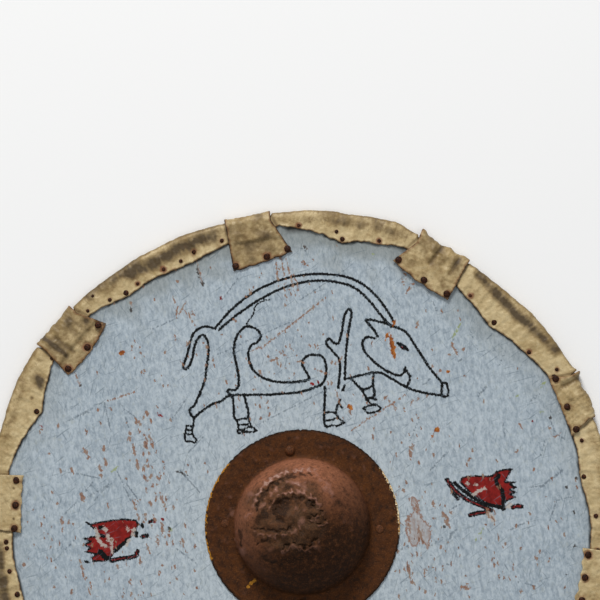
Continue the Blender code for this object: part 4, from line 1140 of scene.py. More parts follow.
def make_edging(number, finish, tacks, spans, seams):
    """One strip of edging. Out in the open it puckers: its cut line wanders and curls up between the
    tacks, its fold swells and creases, and it dips at each tack. Where a patch covers it, it lies as flat
    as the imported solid."""
    name = f"edging_{number}"
    solid = node_points(name)
    middle = bearing_of(solid[:, :2].mean(0))
    turn = turn_between(bearing_of(solid[:, :2]), middle)
    bearing = middle + np.linspace(turn.min(), turn.max(), EDGING_COLUMNS)[:, None]
    open_rim = clear_at_rim(bearing, spans)
    along = np.radians(bearing) * BOARD_RADIUS / MM
    wander = ripple(along, 14, 31)[:, None] * 0.25 + ripple(along, 5, 32)[:, None] * 0.10
    inner = rim_at(bearing, 1) + wander * MM
    swing = ripple(along, 34, 33)[:, None] * 0.22 + ripple(along, 12, 34)[:, None] * 0.10
    covered = BOARD_RADIUS + EDGING_OFF + 0.1 * MM
    outer = covered + (rim_at(bearing, 2) + swing * MM - covered) * open_rim
    sides, shades = [], []
    for off, is_outer in ((EDGING_OFF, True), (FIT_GAP, False)):
        front = inner + (BOARD_RADIUS - EDGE_ROUND - inner) * FACE_ROWS
        rest = round_the_rim(outer if is_outer else outer - RAWHIDE, off, 21 * MM)
        radius = np.concatenate([front, rest[0]], 1)
        height, out, up = with_face(front.shape, BOARD_FRONT + off, rest[1:])
        flat = polar(bearing, radius)
        depth = (BOARD_RADIUS - radius) / MM
        from_cut = (radius - inner) / MM
        face = (up > 0.5) & (out < 0.5)
        open_here = np.where(face, clear_of_patches(flat, spans), open_rim)
        flow = np.stack([np.broadcast_to(along, depth.shape), depth * np.where(up < -0.5, -1, 1)], -1)
        pinch = pinch_at(flat, tacks, 3.2)
        curl = 0.75 * bell(from_cut, 2.6) * open_here * (1 - pinch) * (0.75 + 0.5 * ripple(flow, 26, 35))
        lift = np.maximum(np.where(face, curl, 0), 0)
        fine = 1 - np.abs(ripple(flow / (6.5, 30), 1.0, 38))
        crease = eased(0.80, 1.0, fine) * np.where(face, bell(depth, 9), 1)
        if is_outer:
            pucker = (0.28 * ripple(flow / (1, 2.2), 11, 36) + 0.12 * ripple(flow, 4.6, 37)) * open_here
            pucker = pucker * np.where(face, 1, 0.45)
            lift = lift + 0.28 + pucker - 0.26 * crease * open_here - 0.25 * pinch * face
            lift = np.maximum(lift, -0.2) * open_here
            lift = lift + folds_at(flat, EDGING_FOLDS_PX) / MM * open_here
            lift = lift - np.where(face, 0.8 * bell(from_cut, 0.35), 0)
        radius = radius + out * lift * MM
        height = height + up * lift * MM
        sides.append(np.concatenate([polar(bearing, radius), height[..., None]], -1))
        grime_and_shade = sum(strength * bell(turn_between(bearing, at), width) for at, width, strength in GRIME)
        from_outer = (outer - radius) / MM
        hatch = 0.93 + 0.11 * ripple(flow / (1, 3.0), 4.0, 40) + 0.16 * ripple(flow, 17, 41)
        grime_and_shade = (0.08 + grime_and_shade) * bell(from_outer - 8 - 1.5 * ripple(flow, 60, 39), 4.0) + stain_at(flat)
        seam = np.min([line_distance(flat, line) for line in seams], axis=0) / MM
        # The grime field is also darker where the sheet turns outward round the rim, and carries a painted
        # shadow line along the patches' sides. The crease field darkens the creases as painted shade
        shades.append({
            "grime_and_shade": grime_and_shade * hatch + 0.55 * eased(0.35, 0.9, out) + 0.6 * bell(seam, 1.0) * (up > 0),
            "rust": rust_near(flat, tacks) * (height > BOARD_FRONT),
            "crease": crease * open_here,
            "lip": np.where(face, bell(from_cut, 2.0), 0),
            "brown": 0.75 * np.where(face, bell(from_cut, 1.2), 0),
        })
    folded_sheet(name, sides, shades, finish)


def patch_corners(name):
    """Measures a packed patch: its middle bearing, then from there the rim's two bearings and three
    (bearing, radius) along its inner end, and the depth where it steps down off the edging, or None."""
    points = node_points(name)
    middle = bearing_of(points[:, :2].mean(0))
    turn = turn_between(bearing_of(points[:, :2]), middle)
    radius = np.hypot(points[:, 0], points[:, 1])
    over_board = points[:, 2] - BOARD_FRONT
    rim = turn[radius > BOARD_RADIUS + 0.5 * MM]
    face = np.where(over_board > 0)[0]
    left = face[np.argmin(turn[face])]
    right = face[np.argmax(turn[face])]
    half_way = (turn[left] + turn[right]) / 2
    centre = face[np.abs(turn[face] - half_way) < 1.5]
    centre = centre[np.argmin(radius[centre])]
    ends = [(turn[i], radius[i]) for i in (left, centre, right)]
    above_centre = (np.abs(turn - turn[centre]) < 0.01) & (np.abs(radius - radius[centre]) < 0.01 * MM)
    step = None
    if over_board[above_centre].max() < PATCH_OFF - MM:
        step = BOARD_RADIUS - radius[over_board > PATCH_OFF - 0.1 * MM].min()
    return middle, rim.min(), rim.max(), ends, step


def make_patch(number, finish, tacks):
    """One patch, ruled straight from the rim to its inner end. It steps down off the edging if the packed
    one does, curls at its corners and along its cut sides, and creases where the photograph shows folds."""
    name = f"patch_{number}"
    middle, rim_left, rim_right, ends, step = patch_corners(name)
    solid = node_points(name)
    across = np.concatenate([[0, 0.012, 0.03], np.linspace(0.06, 0.94, 44), [0.97, 0.988, 1.0]])[:, None]
    (left, left_r), (centre, centre_r), (right, right_r) = ends

    def through(first, second, third):
        """A parabola through three values, at a share across."""
        sides = first * (1 - across) * (1 - 2 * across) + third * across * (2 * across - 1)
        return sides + second * 4 * across * (1 - across)

    def waver(length, seed):
        """A ripple across the patch, which is taken as 60 mm wide."""
        return ripple(across * 60, length, seed + number)[:, None]

    end_radius = through(left_r, centre_r, right_r) + (waver(15, 50) * 0.40 + waver(5, 60) * 0.10) * MM
    inner_end = polar(middle + through(left, centre, right), end_radius)
    rim_bearing = middle + rim_left + (rim_right - rim_left) * across
    knee = polar(rim_bearing, BOARD_RADIUS - EDGE_ROUND)
    swing = waver(24, 70) * 0.4 + waver(8, 80) * 0.12
    for at, width, rise in RIM_BUMPS.get(number, ()):
        swing = swing + rise * bell(across - at, width)
    outer = np.hypot(solid[:, 0], solid[:, 1]).max() + 0.35 * MM + swing * MM
    outer = np.maximum(outer, BOARD_RADIUS + PATCH_OFF + 0.1 * MM)
    shares = np.concatenate([[0, 0.010, 0.03, 0.06], np.linspace(0.10, 1, 33)])[None, :, None]
    front = inner_end * (1 - shares) + knee * shares
    depth = BOARD_RADIUS - np.hypot(front[..., 0], front[..., 1])
    sides, shades = [], []
    for extra, is_outer in ((RAWHIDE, True), (0.0, False)):
        high = PATCH_OFF - RAWHIDE + extra
        level = high
        if step is not None:
            level = high + (FIT_GAP + extra - high) * eased(step - 0.5 * MM, step + 4.5 * MM, depth)
        rest = round_the_rim(outer if is_outer else outer - RAWHIDE, high, 28 * MM)
        flat = np.concatenate([front, polar(rim_bearing, rest[0])], 1)
        height, out, up = with_face(depth.shape, BOARD_FRONT + level, rest[1:])
        radius = np.hypot(flat[..., 0], flat[..., 1])
        from_end = (radius - end_radius) / MM
        from_side = np.minimum(across, 1 - across) * 58
        is_face = (np.arange(radius.shape[1]) < depth.shape[1])[None, :]
        in_front = np.where(up < -0.5, 0.0, 1.0)
        flow = flat / MM + 400.0 * (1 - in_front)[..., None]
        pinch = pinch_at(flat, tacks, 2.6)
        curl = np.where(is_face, 0.9 * bell(from_end, 2.2), 0)
        curl = curl + np.where(is_face, 0.7, 0.4) * bell(from_side, 2.0)
        curl = np.maximum(curl * (1 - pinch) * (0.7 + 0.5 * ripple(flow, 24, 90 + number)), 0)
        lift = curl * in_front
        crease = eased(0.82, 1.0, 1 - np.abs(ripple(flow, 15, 93 + number)))
        if is_outer:
            pucker = 0.32 * ripple(flow, 13, 91 + number) + 0.17 * ripple(flow, 5, 92 + number)
            lift = np.maximum(lift + 0.35 + pucker - 0.30 * crease - 0.25 * pinch, -0.1) * in_front
            lift = lift + folds_at(flat, PATCH_FOLDS_PX) / MM * in_front
            roll = np.where(is_face, 0.8 * bell(from_end, 0.35), 0) + 0.8 * bell(from_side, 0.35)
            lift = lift - np.minimum(roll, 0.8)
        flat = flat * (1 + out * lift * MM / radius)[..., None]
        height = height + up * lift * MM
        sides.append(np.concatenate([flat, height[..., None]], -1))
        # How deep the folds are: their depth darkens the patch as painted shade
        deep = np.clip(-folds_at(flat, PATCH_FOLDS_PX) / MM, 0, 1)
        tone, brown = PATCH_GRIME.get(number, (0.12, 0.4))
        tone = tone + 0.16 * eased(0.40, 0.95, out) + stain_at(flat)
        cut = np.where(is_face, bell(from_end, 1.6), 0) + bell(from_side, 1.4)
        burnt = np.where(is_face, bell(from_end, 1.8), 0) + bell(from_side, 1.8)
        # The grime field also takes painted shade in the deep folds, and is darker where the sheet turns
        # outward. The crease field darkens the creases and folds as painted shade
        shades.append({
            "grime_and_shade": tone + 0.35 * deep + 0.20 * np.clip(ripple(flow, 17, 94), 0, 1),
            "rust": rust_near(flat, tacks) * (height > BOARD_FRONT),
            "crease": np.clip(crease * 0.7 + deep, 0, 1),
            "lip": np.clip(cut, 0, 1) * (1 - 0.8 * brown),
            "brown": brown * np.clip(burnt, 0, 1),
        })
    folded_sheet(name, sides, shades, finish)


def rawhide_finish():
    """Dried rawhide: horny and a little glossy, tan with darker mottling, grey grime and painted shade in the
    hollows, pale cut edges and rust round the tacks."""
    made, tree, shader, place = material("dried_rawhide")
    broad = blotches(tree, place, 26, 4, 1.0)
    spots = blotches(tree, place, 6.5, 5, 2.0, 0.62)
    pores = blotches(tree, place, 1.1, 2, 3.0)
    wrinkle = blotches(tree, place, 2.6, 4, 4.0, 0.6)
    on = {name: add(tree, "Attribute", out=2, attribute_name=name) for name in RAWHIDE_FIELDS}
    uneven = frayed(tree, add(tree, "MapRange", spots, 0.3, 0.7, -0.26, 0.26), broad, -0.10, 0.10)
    uneven = faded(tree, uneven, on["grime_and_shade"], 0.05, 0.45, 0.35, 0.75)
    dirt_and_shade = add(tree, "Math", on["grime_and_shade"], uneven, operation="ADD")
    rust = frayed(tree, on["rust"], spots, -0.2, 0.2)
    brown = frayed(tree, on["brown"], spots, -0.25, 0.25)
    colour = coats(
        tree, linear("#C3AE82"),
        (broad, 0.34, 0.66, 1.0, "#AD9669"),
        (spots, 0.50, 0.72, 0.42, "#8C7148"),
        (spots, 0.48, 0.28, 0.50, "#D3C096"),
        (pores, 0.56, 0.70, 0.28, "#7A633D"),
        (on["lip"], 0.2, 1.0, 0.35, "#E0D2A6"),
        # Painted shade in the creases; then grime, which also holds painted shade in the folds and along the
        # patches' sides
        (on["crease"], 0.25, 1.0, 0.62, "#6E5A38"),
        (dirt_and_shade, 0.02, 0.50, 0.50, "#80622F"),
        (dirt_and_shade, 0.20, 1.15, 0.88, "#38280F"),
        (rust, 0.20, 0.85, 0.85, "#74401F"),
        (brown, 0.15, 0.70, 0.7, "#74491F"),
        (brown, 0.65, 0.95, 0.9, "#2E1D0D"),
    )
    rough = add(tree, "MapRange", spots, 0.3, 0.7, 0.42, 0.62)
    finish_with(tree, shader, colour, rough, relief_of(tree, (wrinkle, 0.7), (pores, 0.3)), 0.5, 0.4)
    return made


# Iron: tacks, boss and rivets

# A rivet's sides, and its shank and hammered tail: radius and height over the tail's end, in millimetres
RIVET_SIDES = 28
RIVET_TAIL = ((2.3, 1.3), (3.8, 1.25), (4.0, 0.8), (3.4, 0.2), (2.0, 0.0))


def forged_head(rng, centre, radius, base, crown, tip, sides=18):
    """A forged nail: a domed head with a few hammered flats, and a shank that tapers to its tip. The
    profile is half a nail, crown to tip, and a flat pulls the head in by a little where it faces."""
    share = np.array([0.22, 0.45, 0.66, 0.84, 0.97, 1.0, 0.93])
    rise = np.array([0.99, 0.93, 0.80, 0.58, 0.30, 0.10, 0.0])
    angle = np.linspace(0, 2 * math.pi, sides, endpoint=False)
    flats = rng.uniform(0, 2 * math.pi, 5)
    facing = [np.clip(np.cos(angle - flat), 0, 1) ** 6 * rng.uniform(0.03, 0.14) for flat in flats]
    pull = np.max(facing, axis=0)
    tilt = rng.uniform(-0.10, 0.10, 2)
    rings = []
    for across, up in zip(share, rise):
        wide = radius * across * (1 - pull * across)
        east, north = wide * np.cos(angle), wide * np.sin(angle)
        height = base + (crown - base) * up + (east * tilt[0] + north * tilt[1]) * up
        rings.append(np.stack([centre[0] + east, centre[1] + north, np.minimum(height, crown)], -1))
    if tip is not None:
        for wide, level in ((1.05 * MM, base), (0.7 * MM, (base + tip) / 2), (0.12 * MM, tip)):
            ring = np.stack([centre[0] + wide * np.cos(angle), centre[1] + wide * np.sin(angle)], -1)
            rings.append(np.concatenate([ring, np.full((sides, 1), level)], 1))
    return np.stack(rings)


def closed_rings(name, suffix, rings, finish, fields=None):
    """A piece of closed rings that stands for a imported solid, named after it."""
    faces = turned_faces(*rings.shape[:2])
    made = piece(f"{name}_{suffix}", with_ends(rings), faces, finish, 50, fields)
    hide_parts(name)


def make_patch_tacks(finish):
    """The three tacks of every patch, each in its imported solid's box."""
    rng = np.random.default_rng(9)
    for name in PATCH_TACKS:
        low, high = (np.array(corner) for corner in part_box(name))
        base, crown = high[2] - 1.6 * MM, high[2] + 0.35 * MM
        rings = forged_head(rng, (low + high) / 2, (high[0] - low[0]) / 2, base, crown, low[2])
        closed_rings(name, "forged", rings, finish)


def make_edging_tacks(finish, tacks):
    """The thinner tacks along the edging, as one piece: low domed heads pressed into the rawhide."""
    rng = np.random.default_rng(10)
    base = BOARD_FRONT + EDGING_OFF
    points, faces = np.zeros((0, 3)), []
    for east, north, radius, _ in tacks:
        crown = base + (0.5 + 0.35 * radius) * MM
        rings = forged_head(rng, (east, north), radius * MM, base, crown, base - 5 * MM, 12)
        faces += [tuple(i + len(points) for i in face) for face in turned_faces(*rings.shape[:2])]
        points = np.concatenate([points, with_ends(rings)])
    piece("edging_tacks", points, faces, finish, 50)


def make_rivets(finish):
    """The boss's rivets: domed heads beaten a little out of round, plain shanks and hammered tails."""
    rng = np.random.default_rng(12)
    flange = FLANGE_BACK + BOSS_SHEET
    angle = np.linspace(0, 2 * math.pi, RIVET_SIDES, endpoint=False)
    circle = np.stack([np.cos(angle), np.sin(angle)], -1)
    for side in ("top", "bottom", "left", "right"):
        name = f"boss_rivet_{side}"
        low, high = (np.array(corner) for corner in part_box(name))
        middle = (low + high) / 2
        head = forged_head(rng, middle, (high[0] - low[0]) / 2, flange, high[2], None, RIVET_SIDES)
        shank = [(RIVET_TAIL[0][0], flange)] + [(radius, low[2] + rise * MM) for radius, rise in RIVET_TAIL]
        tail = [
            np.concatenate([middle[:2] + radius * MM * circle, np.full((RIVET_SIDES, 1), level)], 1)
            for radius, level in shank
        ]
        closed_rings(name, "forged", np.concatenate([head, np.stack(tail)]), finish)


# Dents, ridges and grooves on the boss, as pixels: a line, its half width and its height in millimetres
BOSS_LINES_PX = (
    (
        ((254, 508), (257, 497), (263, 488), (270, 481), (278, 476), (290, 472), (304, 470.5), (315, 471)),
        1.22, 1.2,
    ),
    (
        ((257, 510), (261, 498), (267, 490), (274, 484), (282, 480), (292, 476.5), (304, 475), (314, 475)),
        1.01, -1.2,
    ),
    (((262, 508), (268, 497), (277, 489), (290, 484), (304, 484)), 1.73, 0.64),
    (((270, 509), (276, 499), (288, 492), (302, 493), (312, 498), (318, 507)), 1.37, 1.04),
    (((276, 512), (281, 503), (290, 498), (301, 499), (309, 505)), 1.58, -1.04),
    (((310, 501.5), (315, 506)), 1.22, -1.76),
    (((313, 497), (319, 504)), 0.65, 1.12),
    (((283, 552.5), (291, 546), (300, 548.5), (309, 550), (318, 542)), 0.94, 1.28),
    (((283, 548), (291.5, 541.5), (300, 544.3), (308, 545.5), (316, 538)), 0.79, -1.36),
    (((311, 520.5), (323, 515)), 0.86, 1.04),
    (((311, 516.5), (322, 511.5)), 0.72, -0.96),
    (((317, 528.5), (327, 522.5)), 0.86, 0.96),
    (((316, 525), (325, 519)), 0.65, -0.88),
    (((240.5, 529), (241.5, 545)), 1.01, -1.2),
    (((236, 531), (237, 546)), 1.15, 0.56),
    (((257, 543.5), (266, 540)), 0.94, -1.2),
    (((254, 528), (266, 530), (282, 530), (296, 526)), 1.01, -1.04),
    (((256, 532), (270, 534.5), (286, 534), (300, 529)), 1.3, 0.8),
    (((366, 527), (369, 519)), 0.72, -0.8),
    (((253, 510), (257, 506)), 0.94, -1.04),
    (((246, 519), (251, 513)), 1.08, 0.72),
    (((318, 476), (328, 486), (333, 500)), 1.87, 0.56),
    (((262, 556), (275, 560), (292, 560), (309, 556)), 2.16, -0.64),
)
BOSS_SPOTS_PX = (
    (279, 507, 9.0, -1.3), (242, 551, 3.0, 1.3), (279, 504, 1.8, -1.2), (296, 508, 2.2, 0.9),
    (262, 519, 4.0, -0.9), (318, 548, 3.2, 0.9), (327, 552, 3.0, -0.8), (338, 500, 5.0, -0.7),
    (300, 520, 5.5, 0.7), (334, 540, 6.0, -0.6), (250, 498, 3.5, 0.8), (326, 490, 3.0, 0.7),
    (271, 548, 3.0, 0.7), (346, 522, 4.5, 0.5), (256, 470, 4.5, -0.4), (233, 512, 3.5, 0.6),
    (289, 487, 2.6, -0.7), (304, 489, 2.4, 0.7), (272, 518, 2.6, 0.8),
)
# The beaten crown: middle in pixels and half width in millimetres
CROWN_PX = (286, 513)
CROWN_HALF_MM = 41.0
# Worn bright edge of the flange: from and to bearing round the boss, and strength
WORN_EDGE = ((-114, -46, 0.80), (50, 99, 0.80), (62, 82, 0.9), (140, 158, 0.4), (205, 222, 0.45))
# Scratches through the rust on the flange, as pixels from and to
BOSS_SCRATCHES_PX = (((247.3, 586.7), (254.5, 579.8)),)
# Bearing that painted light falls from on the boss, where its wall is also dustiest, and round lumps of its
# crown: east, north, spread and height in millimetres from its middle
PAINTED_LIGHT_BEARING = -29
BOSS_LUMPS = (
    (-8, 15, 16, -2.6), (14, 20, 9, 1.2), (-34, 38, 12, 1.4), (-4, -24, 13, 1.3), (20, -6, 11, -1.2),
    (-50, -12, 10, -1.4),
)

# Columns of points round the boss, and the fields that its material reads
BOSS_COLUMNS = 320
BOSS_FIELDS = ("lit", "wall", "dome", "crown", "ridge_highlight", "hollow_shade", "edge", "worn", "glint")


def boss_section():
    """Half a section of the sheet, outer side from the crown to the flange's edge and inner side back to
    the crown: radius and height. An ellipse, a fillet and a flat, and the same line set in. Also how many
    rows are outer."""
    top = FLANGE_BACK + BOSS_SHEET
    edge = BOSS_EDGE
    rows = []
    crown_rows = np.linspace(89.2, 40, 66), np.linspace(39, math.degrees(DOME_FOOT_ANGLE), 26)
    for a in np.radians(np.concatenate(crown_rows)):
        out = np.array([math.cos(a) / DOME_RADIUS, math.sin(a) / DOME_HEIGHT])
        out = out / np.hypot(*out)
        rows.append((DOME_RADIUS * math.cos(a), top + DOME_HEIGHT * math.sin(a), *out))
    for a in np.linspace(DOME_FOOT_ANGLE, math.pi / 2, 8):
        c, s = math.cos(a), math.sin(a)
        rows.append((DOME_RADIUS + FLANGE_FILLET * (1 - c), top + FLANGE_FILLET * (1 - s), c, s))
    for radius in np.linspace(DOME_RADIUS + FLANGE_FILLET, edge - 0.8 * MM, 18)[1:]:
        rows.append((radius, top, 0.0, 1.0))
    outer = np.array(rows)
    inner = outer[::-1][::3]
    inner = np.concatenate([inner[inner[:, 0] < edge - 1.0 * MM], outer[:1]])
    inner = inner[:, :2] - BOSS_SHEET * inner[:, 2:]
    inner[:, 0] = np.maximum(inner[:, 0], 0.5 * MM)
    rim = [
        (edge - 0.25 * MM, top - 0.25 * MM), (edge, top - 0.8 * MM), (edge, FLANGE_BACK + 0.6 * MM),
        (edge - 0.4 * MM, FLANGE_BACK),
    ]
    return np.concatenate([outer[:, :2], np.array(rim), inner]), len(outer)


def make_boss(finish):
    """The boss: the section turned about its middle, made a little oval, leaned and beaten. Its crown is
    crumpled by ripples, and by the dents, ridges and grooves that the photograph shows."""
    line, outer_rows = boss_section()
    angle = np.linspace(0, 2 * math.pi, BOSS_COLUMNS, endpoint=False)[None, :]
    radius, height = line[:, :1], line[:, 1:]
    above = height - (FLANGE_BACK + BOSS_SHEET)
    on_outer = (np.arange(len(line)) < outer_rows)[:, None]

    # In plan: an oval with a nibbled edge, its crown leaned over
    outward = np.clip((radius - DOME_RADIUS) / (BOSS_EDGE - DOME_RADIUS), 0, 1)
    oval = outward * (BOSS_HALF[0] - BOSS_HALF[1]) / 2 * np.cos(2 * angle)
    rim = angle[..., None] * 98
    nibble = outward**6 * (0.28 * ripple(rim, 7, 101) + 0.22 * ripple(rim, 3, 102))
    wide = radius + oval + np.minimum(nibble, 0.15) * MM
    lean = np.maximum(0, above / DOME_HEIGHT) ** 2
    plan = np.stack([wide * np.cos(angle), wide * np.sin(angle)], -1) + CROWN_LEAN * lean[..., None]
    places = plan + BOSS_CENTRE
    flow = places / MM

    # Heights: broad lumps, the beaten crown, and the dents and ridges that the photograph shows
    risen = np.clip(above / CROWN_FADE, 0, 1)
    lumps = 0
    for x, y, spread, rise in BOSS_LUMPS:
        lumps = lumps + rise * bell(np.hypot(*np.moveaxis(plan / MM - (x, y), -1, 0)), spread) * risen
    gap = np.hypot(*np.moveaxis(places - from_photo(CROWN_PX), -1, 0)) / MM + 3.0 * ripple(flow, 30, 103)
    rough = (1 - eased(CROWN_HALF_MM - 14, CROWN_HALF_MM + 8, gap)) * (risen > 0)
    broad = rough * (0.70 * ripple(flow, 21, 104) + 0.25 * ripple(flow, 10, 105))
    crumple = 0.6 - np.abs(ripple(flow, 9.5, 106)) - 0.35 * np.abs(ripple(flow, 4.6, 107))
    dent = rough * (0.26 * crumple + 0.20 * ripple(flow, 11, 111) + 0.07 * ripple(flow, 2.8, 110))
    dent = dent + 0.16 * ripple(flow, 14, 108) + 0.08 * ripple(flow, 5, 109)
    waver = np.stack([ripple(flow, 6, 112), ripple(flow, 6, 113)], -1) * 0.9 * MM
    broken = np.clip(1.15 + 0.55 * ripple(flow, 7, 114), 0.3, 1.8)
    for pixels, half, rise in BOSS_LINES_PX:
        gap = line_distance(places + waver, smooth_line(from_photo(pixels), 4)) / MM
        dent = dent + rise * broken * bell(gap, half)
    for across, down, spread, rise in BOSS_SPOTS_PX:
        gap = np.hypot(*np.moveaxis(places - from_photo((across, down)), -1, 0)) / MM
        dent = dent + rise * bell(gap, spread)
    shift = dent + broad
    level = height + (lumps + np.where(on_outer, shift, np.minimum(shift, 0) * (risen > 0))) * MM
    dent = np.where(on_outer, dent, 0)

    # The flange's worn edge and scratches, and where painted light and dust fall
    turn = bearing_of(plan)
    from_edge = (BOSS_EDGE - radius) / MM
    worn = 0
    for start, end, strength in WORN_EDGE:
        span = eased(0, 6, turn_between(turn, start)) * eased(0, 6, turn_between(end, turn))
        worn = np.maximum(worn, strength * span)
    worn = worn * bell(np.maximum(from_edge - 0.5, 0), 1.0) * (level > FLANGE_BACK + 0.5 * MM)
    for ends in BOSS_SCRATCHES_PX:
        worn = np.maximum(worn, 1.25 * bell(line_distance(places, from_photo(ends)) / MM, 1.0) * on_outer)
    lit = np.cos(angle - math.radians(90 - PAINTED_LIGHT_BEARING))
    fields = {
        "worn": worn,
        "glint": bell(turn_between(turn, 74), 22),
        # A painted shadow line along the flange's edge
        "edge": bell(np.maximum(from_edge, 0), 2.0),
        "wall": eased(0, 6 * MM, above) * (1 - 0.7 * rough),
        "dome": eased(0, 5 * MM, above),
        # Painted shade in the crown's dents, and a painted highlight on its ridges
        "hollow_shade": np.clip(-dent * 0.9 - 0.1, 0, 1),
        "ridge_highlight": np.clip(dent * 0.9 - 0.15, 0, 1),
        "crown": rough * on_outer,
        "lit": lit * np.clip(radius / (30 * MM), 0, 1),
    }
    for key, values in fields.items():
        values = np.broadcast_to(values, level.shape)
        fields[key] = np.concatenate([[values[0].mean()], values.ravel(), [values[-1].mean()]])
    points = np.concatenate([places, level[..., None]], -1)
    closed_rings("boss", "hammered", points, finish, fields)


def boss_finish():
    """Wrought iron that has rusted all over: dull brown, redder and dustier on the smooth wall, dark and pitted
    on
    the flange. Light is painted on: the wall is lighter on its lit side and in painted shade on its far side,
    the crown has a greyish painted highlight on its ridges and painted shade in its dents, and a painted shadow
    line runs round the flange's edge. The flange's edge is worn bright, with pale painted glints on its right."""
    made, tree, shader, place = material("rusted_wrought_iron")
    broad = blotches(tree, place, 22, 4, 5.0)
    spots = blotches(tree, place, 5, 5, 6.0, 0.65)
    grit = blotches(tree, place, 1.2, 3, 7.0, 0.7)
    scale = blotches(tree, place, 2.6, 4, 8.0, 0.6)
    on = {name: add(tree, "Attribute", out=2, attribute_name=name) for name in BOSS_FIELDS}
    lit = on["lit"]
    # The wall's dust colour, spread by how lit the wall is, so that its lit side also takes painted light
    dust_and_light_tone = coats(tree, linear("#9E664A"), (scale, 0.35, 0.65, 1.0, "#80503A"))
    dust_and_painted_light = faded(tree, faded(tree, on["wall"], lit, -0.64, 0.72), spots, 0.30, 0.52, 0.55, 1.0)
    ridge_highlight = faded(tree, on["ridge_highlight"], lit, -1.0, 1.0, 0.25, 1.0)
    # Pale painted glints on the right of the worn edge
    glint = faded(tree, on["glint"], grit, 0.42, 0.58)
    bright = coats(
        tree, linear("#C58A2C"),
        (grit, 0.4, 0.6, 1.0, "#8B5A1E"),
        (glint, 0.3, 0.6, 1.0, "#F2E6C4"),
    )
    scaly = add(tree, "MapRange", scale, 0.35, 0.65, -0.55, 0.40)
    worn = add(tree, "Math", on["worn"], scaly, operation="ADD")
    colour = coats(
        tree, linear("#4C2B12"),
        (broad, 0.36, 0.64, 1.0, "#3E220F"),
        (spots, 0.50, 0.72, 0.60, "#5F3617"),
        (spots, 0.48, 0.30, 0.70, "#28160A"),
        (dust_and_painted_light, 0.0, 1.0, 1.0, dust_and_light_tone),
        # Painted shade on the side of the dome away from the light
        (faded(tree, on["dome"], lit, 0.35, -0.75, 0.0, 0.60), 0.0, 1.0, 1.0, "#190D06"),
        (faded(tree, on["crown"], broad, 0.40, 0.62, 0.50, 0.80), 0.0, 1.0, 1.0, "#4E3826"),
        (faded(tree, on["dome"], spots, 0.52, 0.70, 0.0, 0.45), 0.0, 1.0, 1.0, "#6E452B"),
        (spots, 0.46, 0.30, 0.45, "#1B1008"),
        # A greyish painted highlight on the crown's ridges, palest on the lit side, and painted shade in its
        # dents
        (ridge_highlight, 0.05, 0.8, 0.75, "#94695A"),
        (frayed(tree, ridge_highlight, grit, -0.2, 0.2), 0.85, 1.1, 0.6, "#C4A99C"),
        (on["hollow_shade"], 0.05, 0.8, 0.75, "#1D120A"),
        (grit, 0.56, 0.70, 0.45, "#85562F"),
        (grit, 0.44, 0.30, 0.60, "#1C110A"),
        # A painted shadow line along the flange's edge
        (frayed(tree, on["edge"], spots, -0.3, 0.3), 0.45, 0.95, 0.9, "#1A1008"),
        (worn, 0.40, 0.60, 1.0, bright),
    )
    rough = add(tree, "MapRange", spots, 0.3, 0.7, 0.58, 0.78)
    finish_with(tree, shader, colour, rough, relief_of(tree, (scale, 0.6), (grit, 0.4)), 0.7, 0.12)
    return made


def small_iron_finish(name, base, deep, rust, share):
    """Forged iron of small heads: dark fire scale, pitted, with rust where it lies."""
    made, tree, shader, place = material(name)
    spots = blotches(tree, place, 2.6, 4, 9.0, 0.62)
    grit = blotches(tree, place, 0.9, 3, 10.0, 0.65)
    rusty = 0.62 - share * 0.3
    colour = coats(
        tree, linear(base),
        (spots, 0.35, 0.65, 1.0, deep),
        (grit, rusty, rusty + 0.16, 0.85, rust),
    )
    rough = add(tree, "MapRange", spots, 0.3, 0.7, 0.40, 0.62)
    finish_with(tree, shader, colour, rough, grit, 0.35, 0.13)
    return made


# Wood of the board's back and of the grip

def bare_wood_finish(name, light, dark, lean, handled):
    """Bare wood: long grain with darker late wood, pores, knocks, and grime where hands have rubbed it."""
    made, tree, shader, place = material(name)
    lie = add(tree, "Mapping", place, (0, 0, 0), (0, 0, math.radians(lean)), (1, 1, 1))
    rings = blotches(tree, lie, (6, 240, 9), 4, 11.0, 0.6)
    fibre = blotches(tree, lie, (1.1, 22, 1.4), 3, 12.0)
    broad = blotches(tree, place, 60, 3, 13.0)
    colour = coats(
        tree, linear(light),
        (rings, 0.36, 0.64, 1.0, dark),
        (fibre, 0.50, 0.72, 0.55, "#6B4A2C"),
        (fibre, 0.46, 0.30, 0.35, "#D9BD92"),
        (broad, 0.45, 0.70, handled, "#5B4128"),
    )
    rough = add(tree, "MapRange", rings, 0.3, 0.7, 0.50, 0.68)
    finish_with(tree, shader, colour, rough, relief_of(tree, (rings, 0.5), (fibre, 0.5)), 0.35, 0.35)
    return made


# Width and thickness of the grip in millimetres, in the hand and at its ends
GRIP_HANDLE_MM = (28, 20)
GRIP_END_MM = (34, 6)


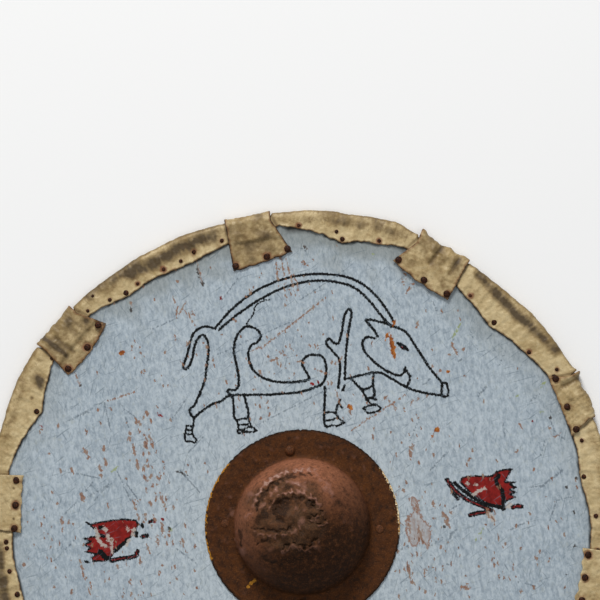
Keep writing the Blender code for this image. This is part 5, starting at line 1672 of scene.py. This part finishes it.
def make_grip(finish):
    """The grip: a bar whose section is a superellipse, an oval at the handle and nearly square at the
    ends. It is whittled to shallow facets, and two round recesses behind it hold the rivets' tails."""
    low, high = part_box("grip")
    centre = (np.array(low[:]) + np.array(high[:])) / 2
    half_length = (high.x - low.x) / 2
    shoulder, taper = 52 * MM, 14 * MM
    ends = spaced((-half_length, 1.1 * MM), (-62 * MM, 2.6 * MM), (62 * MM, 1.1 * MM), half_length)
    share = np.clip((np.abs(ends) - (shoulder - taper)) / taper, 0, 1)
    ease = (1 - np.cos(np.pi * share)) / 2
    wide, thick = (handle + (end - handle) * ease for handle, end in zip(GRIP_HANDLE_MM, GRIP_END_MM))
    half_width = wide / 2 * MM
    front = low.z + thick * MM
    square = 2.6 + 9.0 * ease
    angle = np.linspace(0, 2 * math.pi, 96, endpoint=False)[None, :]
    c, s = np.cos(angle), np.sin(angle)
    power = (2 / square)[:, None]
    north = half_width[:, None] * np.sign(c) * np.abs(c) ** power
    middle, rise = (low.z + front)[:, None] / 2, (front - low.z)[:, None] / 2
    height = middle + rise * np.sign(s) * np.abs(s) ** power
    along = np.broadcast_to(ends[:, None], north.shape)
    flow = np.stack([along / MM / 3.2, north / MM, height / MM], -1)
    shave = 0.30 * ripple(flow, 9, 120) * (1 - ease[:, None])
    north = north * (1 + shave * MM / half_width[:, None])
    height = height + shave * MM * np.sign(s) * (np.abs(s) > 0.5)
    points = np.stack([centre[0] + along, centre[1] + north, height], -1)
    for side in ("left", "right"):
        bore_low, bore_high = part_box(f"boss_rivet_{side}")
        x, y = (bore_low.x + bore_high.x) / 2, (bore_low.y + bore_high.y) / 2
        gap = np.hypot(points[..., 0] - x, points[..., 1] - y) / MM
        behind = points[..., 2] < low.z + 1.5 * MM
        points[..., 2] += 3.0 * MM * (1 - eased(4.9, 5.7, gap)) * behind
    closed_rings("grip", "whittled", points, finish)


def main():
    """Builds every finished piece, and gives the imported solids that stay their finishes."""
    set_stage()
    make_paint(paint_finish())
    spans = patch_spans()
    thin_tacks, thick_tacks = edging_tacks(), patch_tacks()
    seams = patch_seams()
    rawhide = rawhide_finish()
    for number in NUMBERS:
        make_edging(number, rawhide, thin_tacks, spans, seams)
        make_patch(number, rawhide, thick_tacks)
    tack_iron = small_iron_finish("forged_iron_tack", "#2B170C", "#160C06", "#6B361A", 0.36)
    rivet_iron = small_iron_finish("forged_iron_rivet", "#5C3822", "#38200F", "#7A4A2A", 0.4)
    make_patch_tacks(tack_iron)
    make_edging_tacks(tack_iron, thin_tacks)
    make_boss(boss_finish())
    make_rivets(rivet_iron)
    board_wood = bare_wood_finish("bare_birch_plywood", "#C09A68", "#A67F4E", GRAIN_LEAN, 0.5)
    make_grip(bare_wood_finish("hand_worn_ash", "#B48B58", "#8E683C", 90, 0.75))
    for name, finish in (("board", board_wood), ("rove_top", rivet_iron), ("rove_bottom", rivet_iron)):
        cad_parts[name].material_slots[0].material = finish


main()
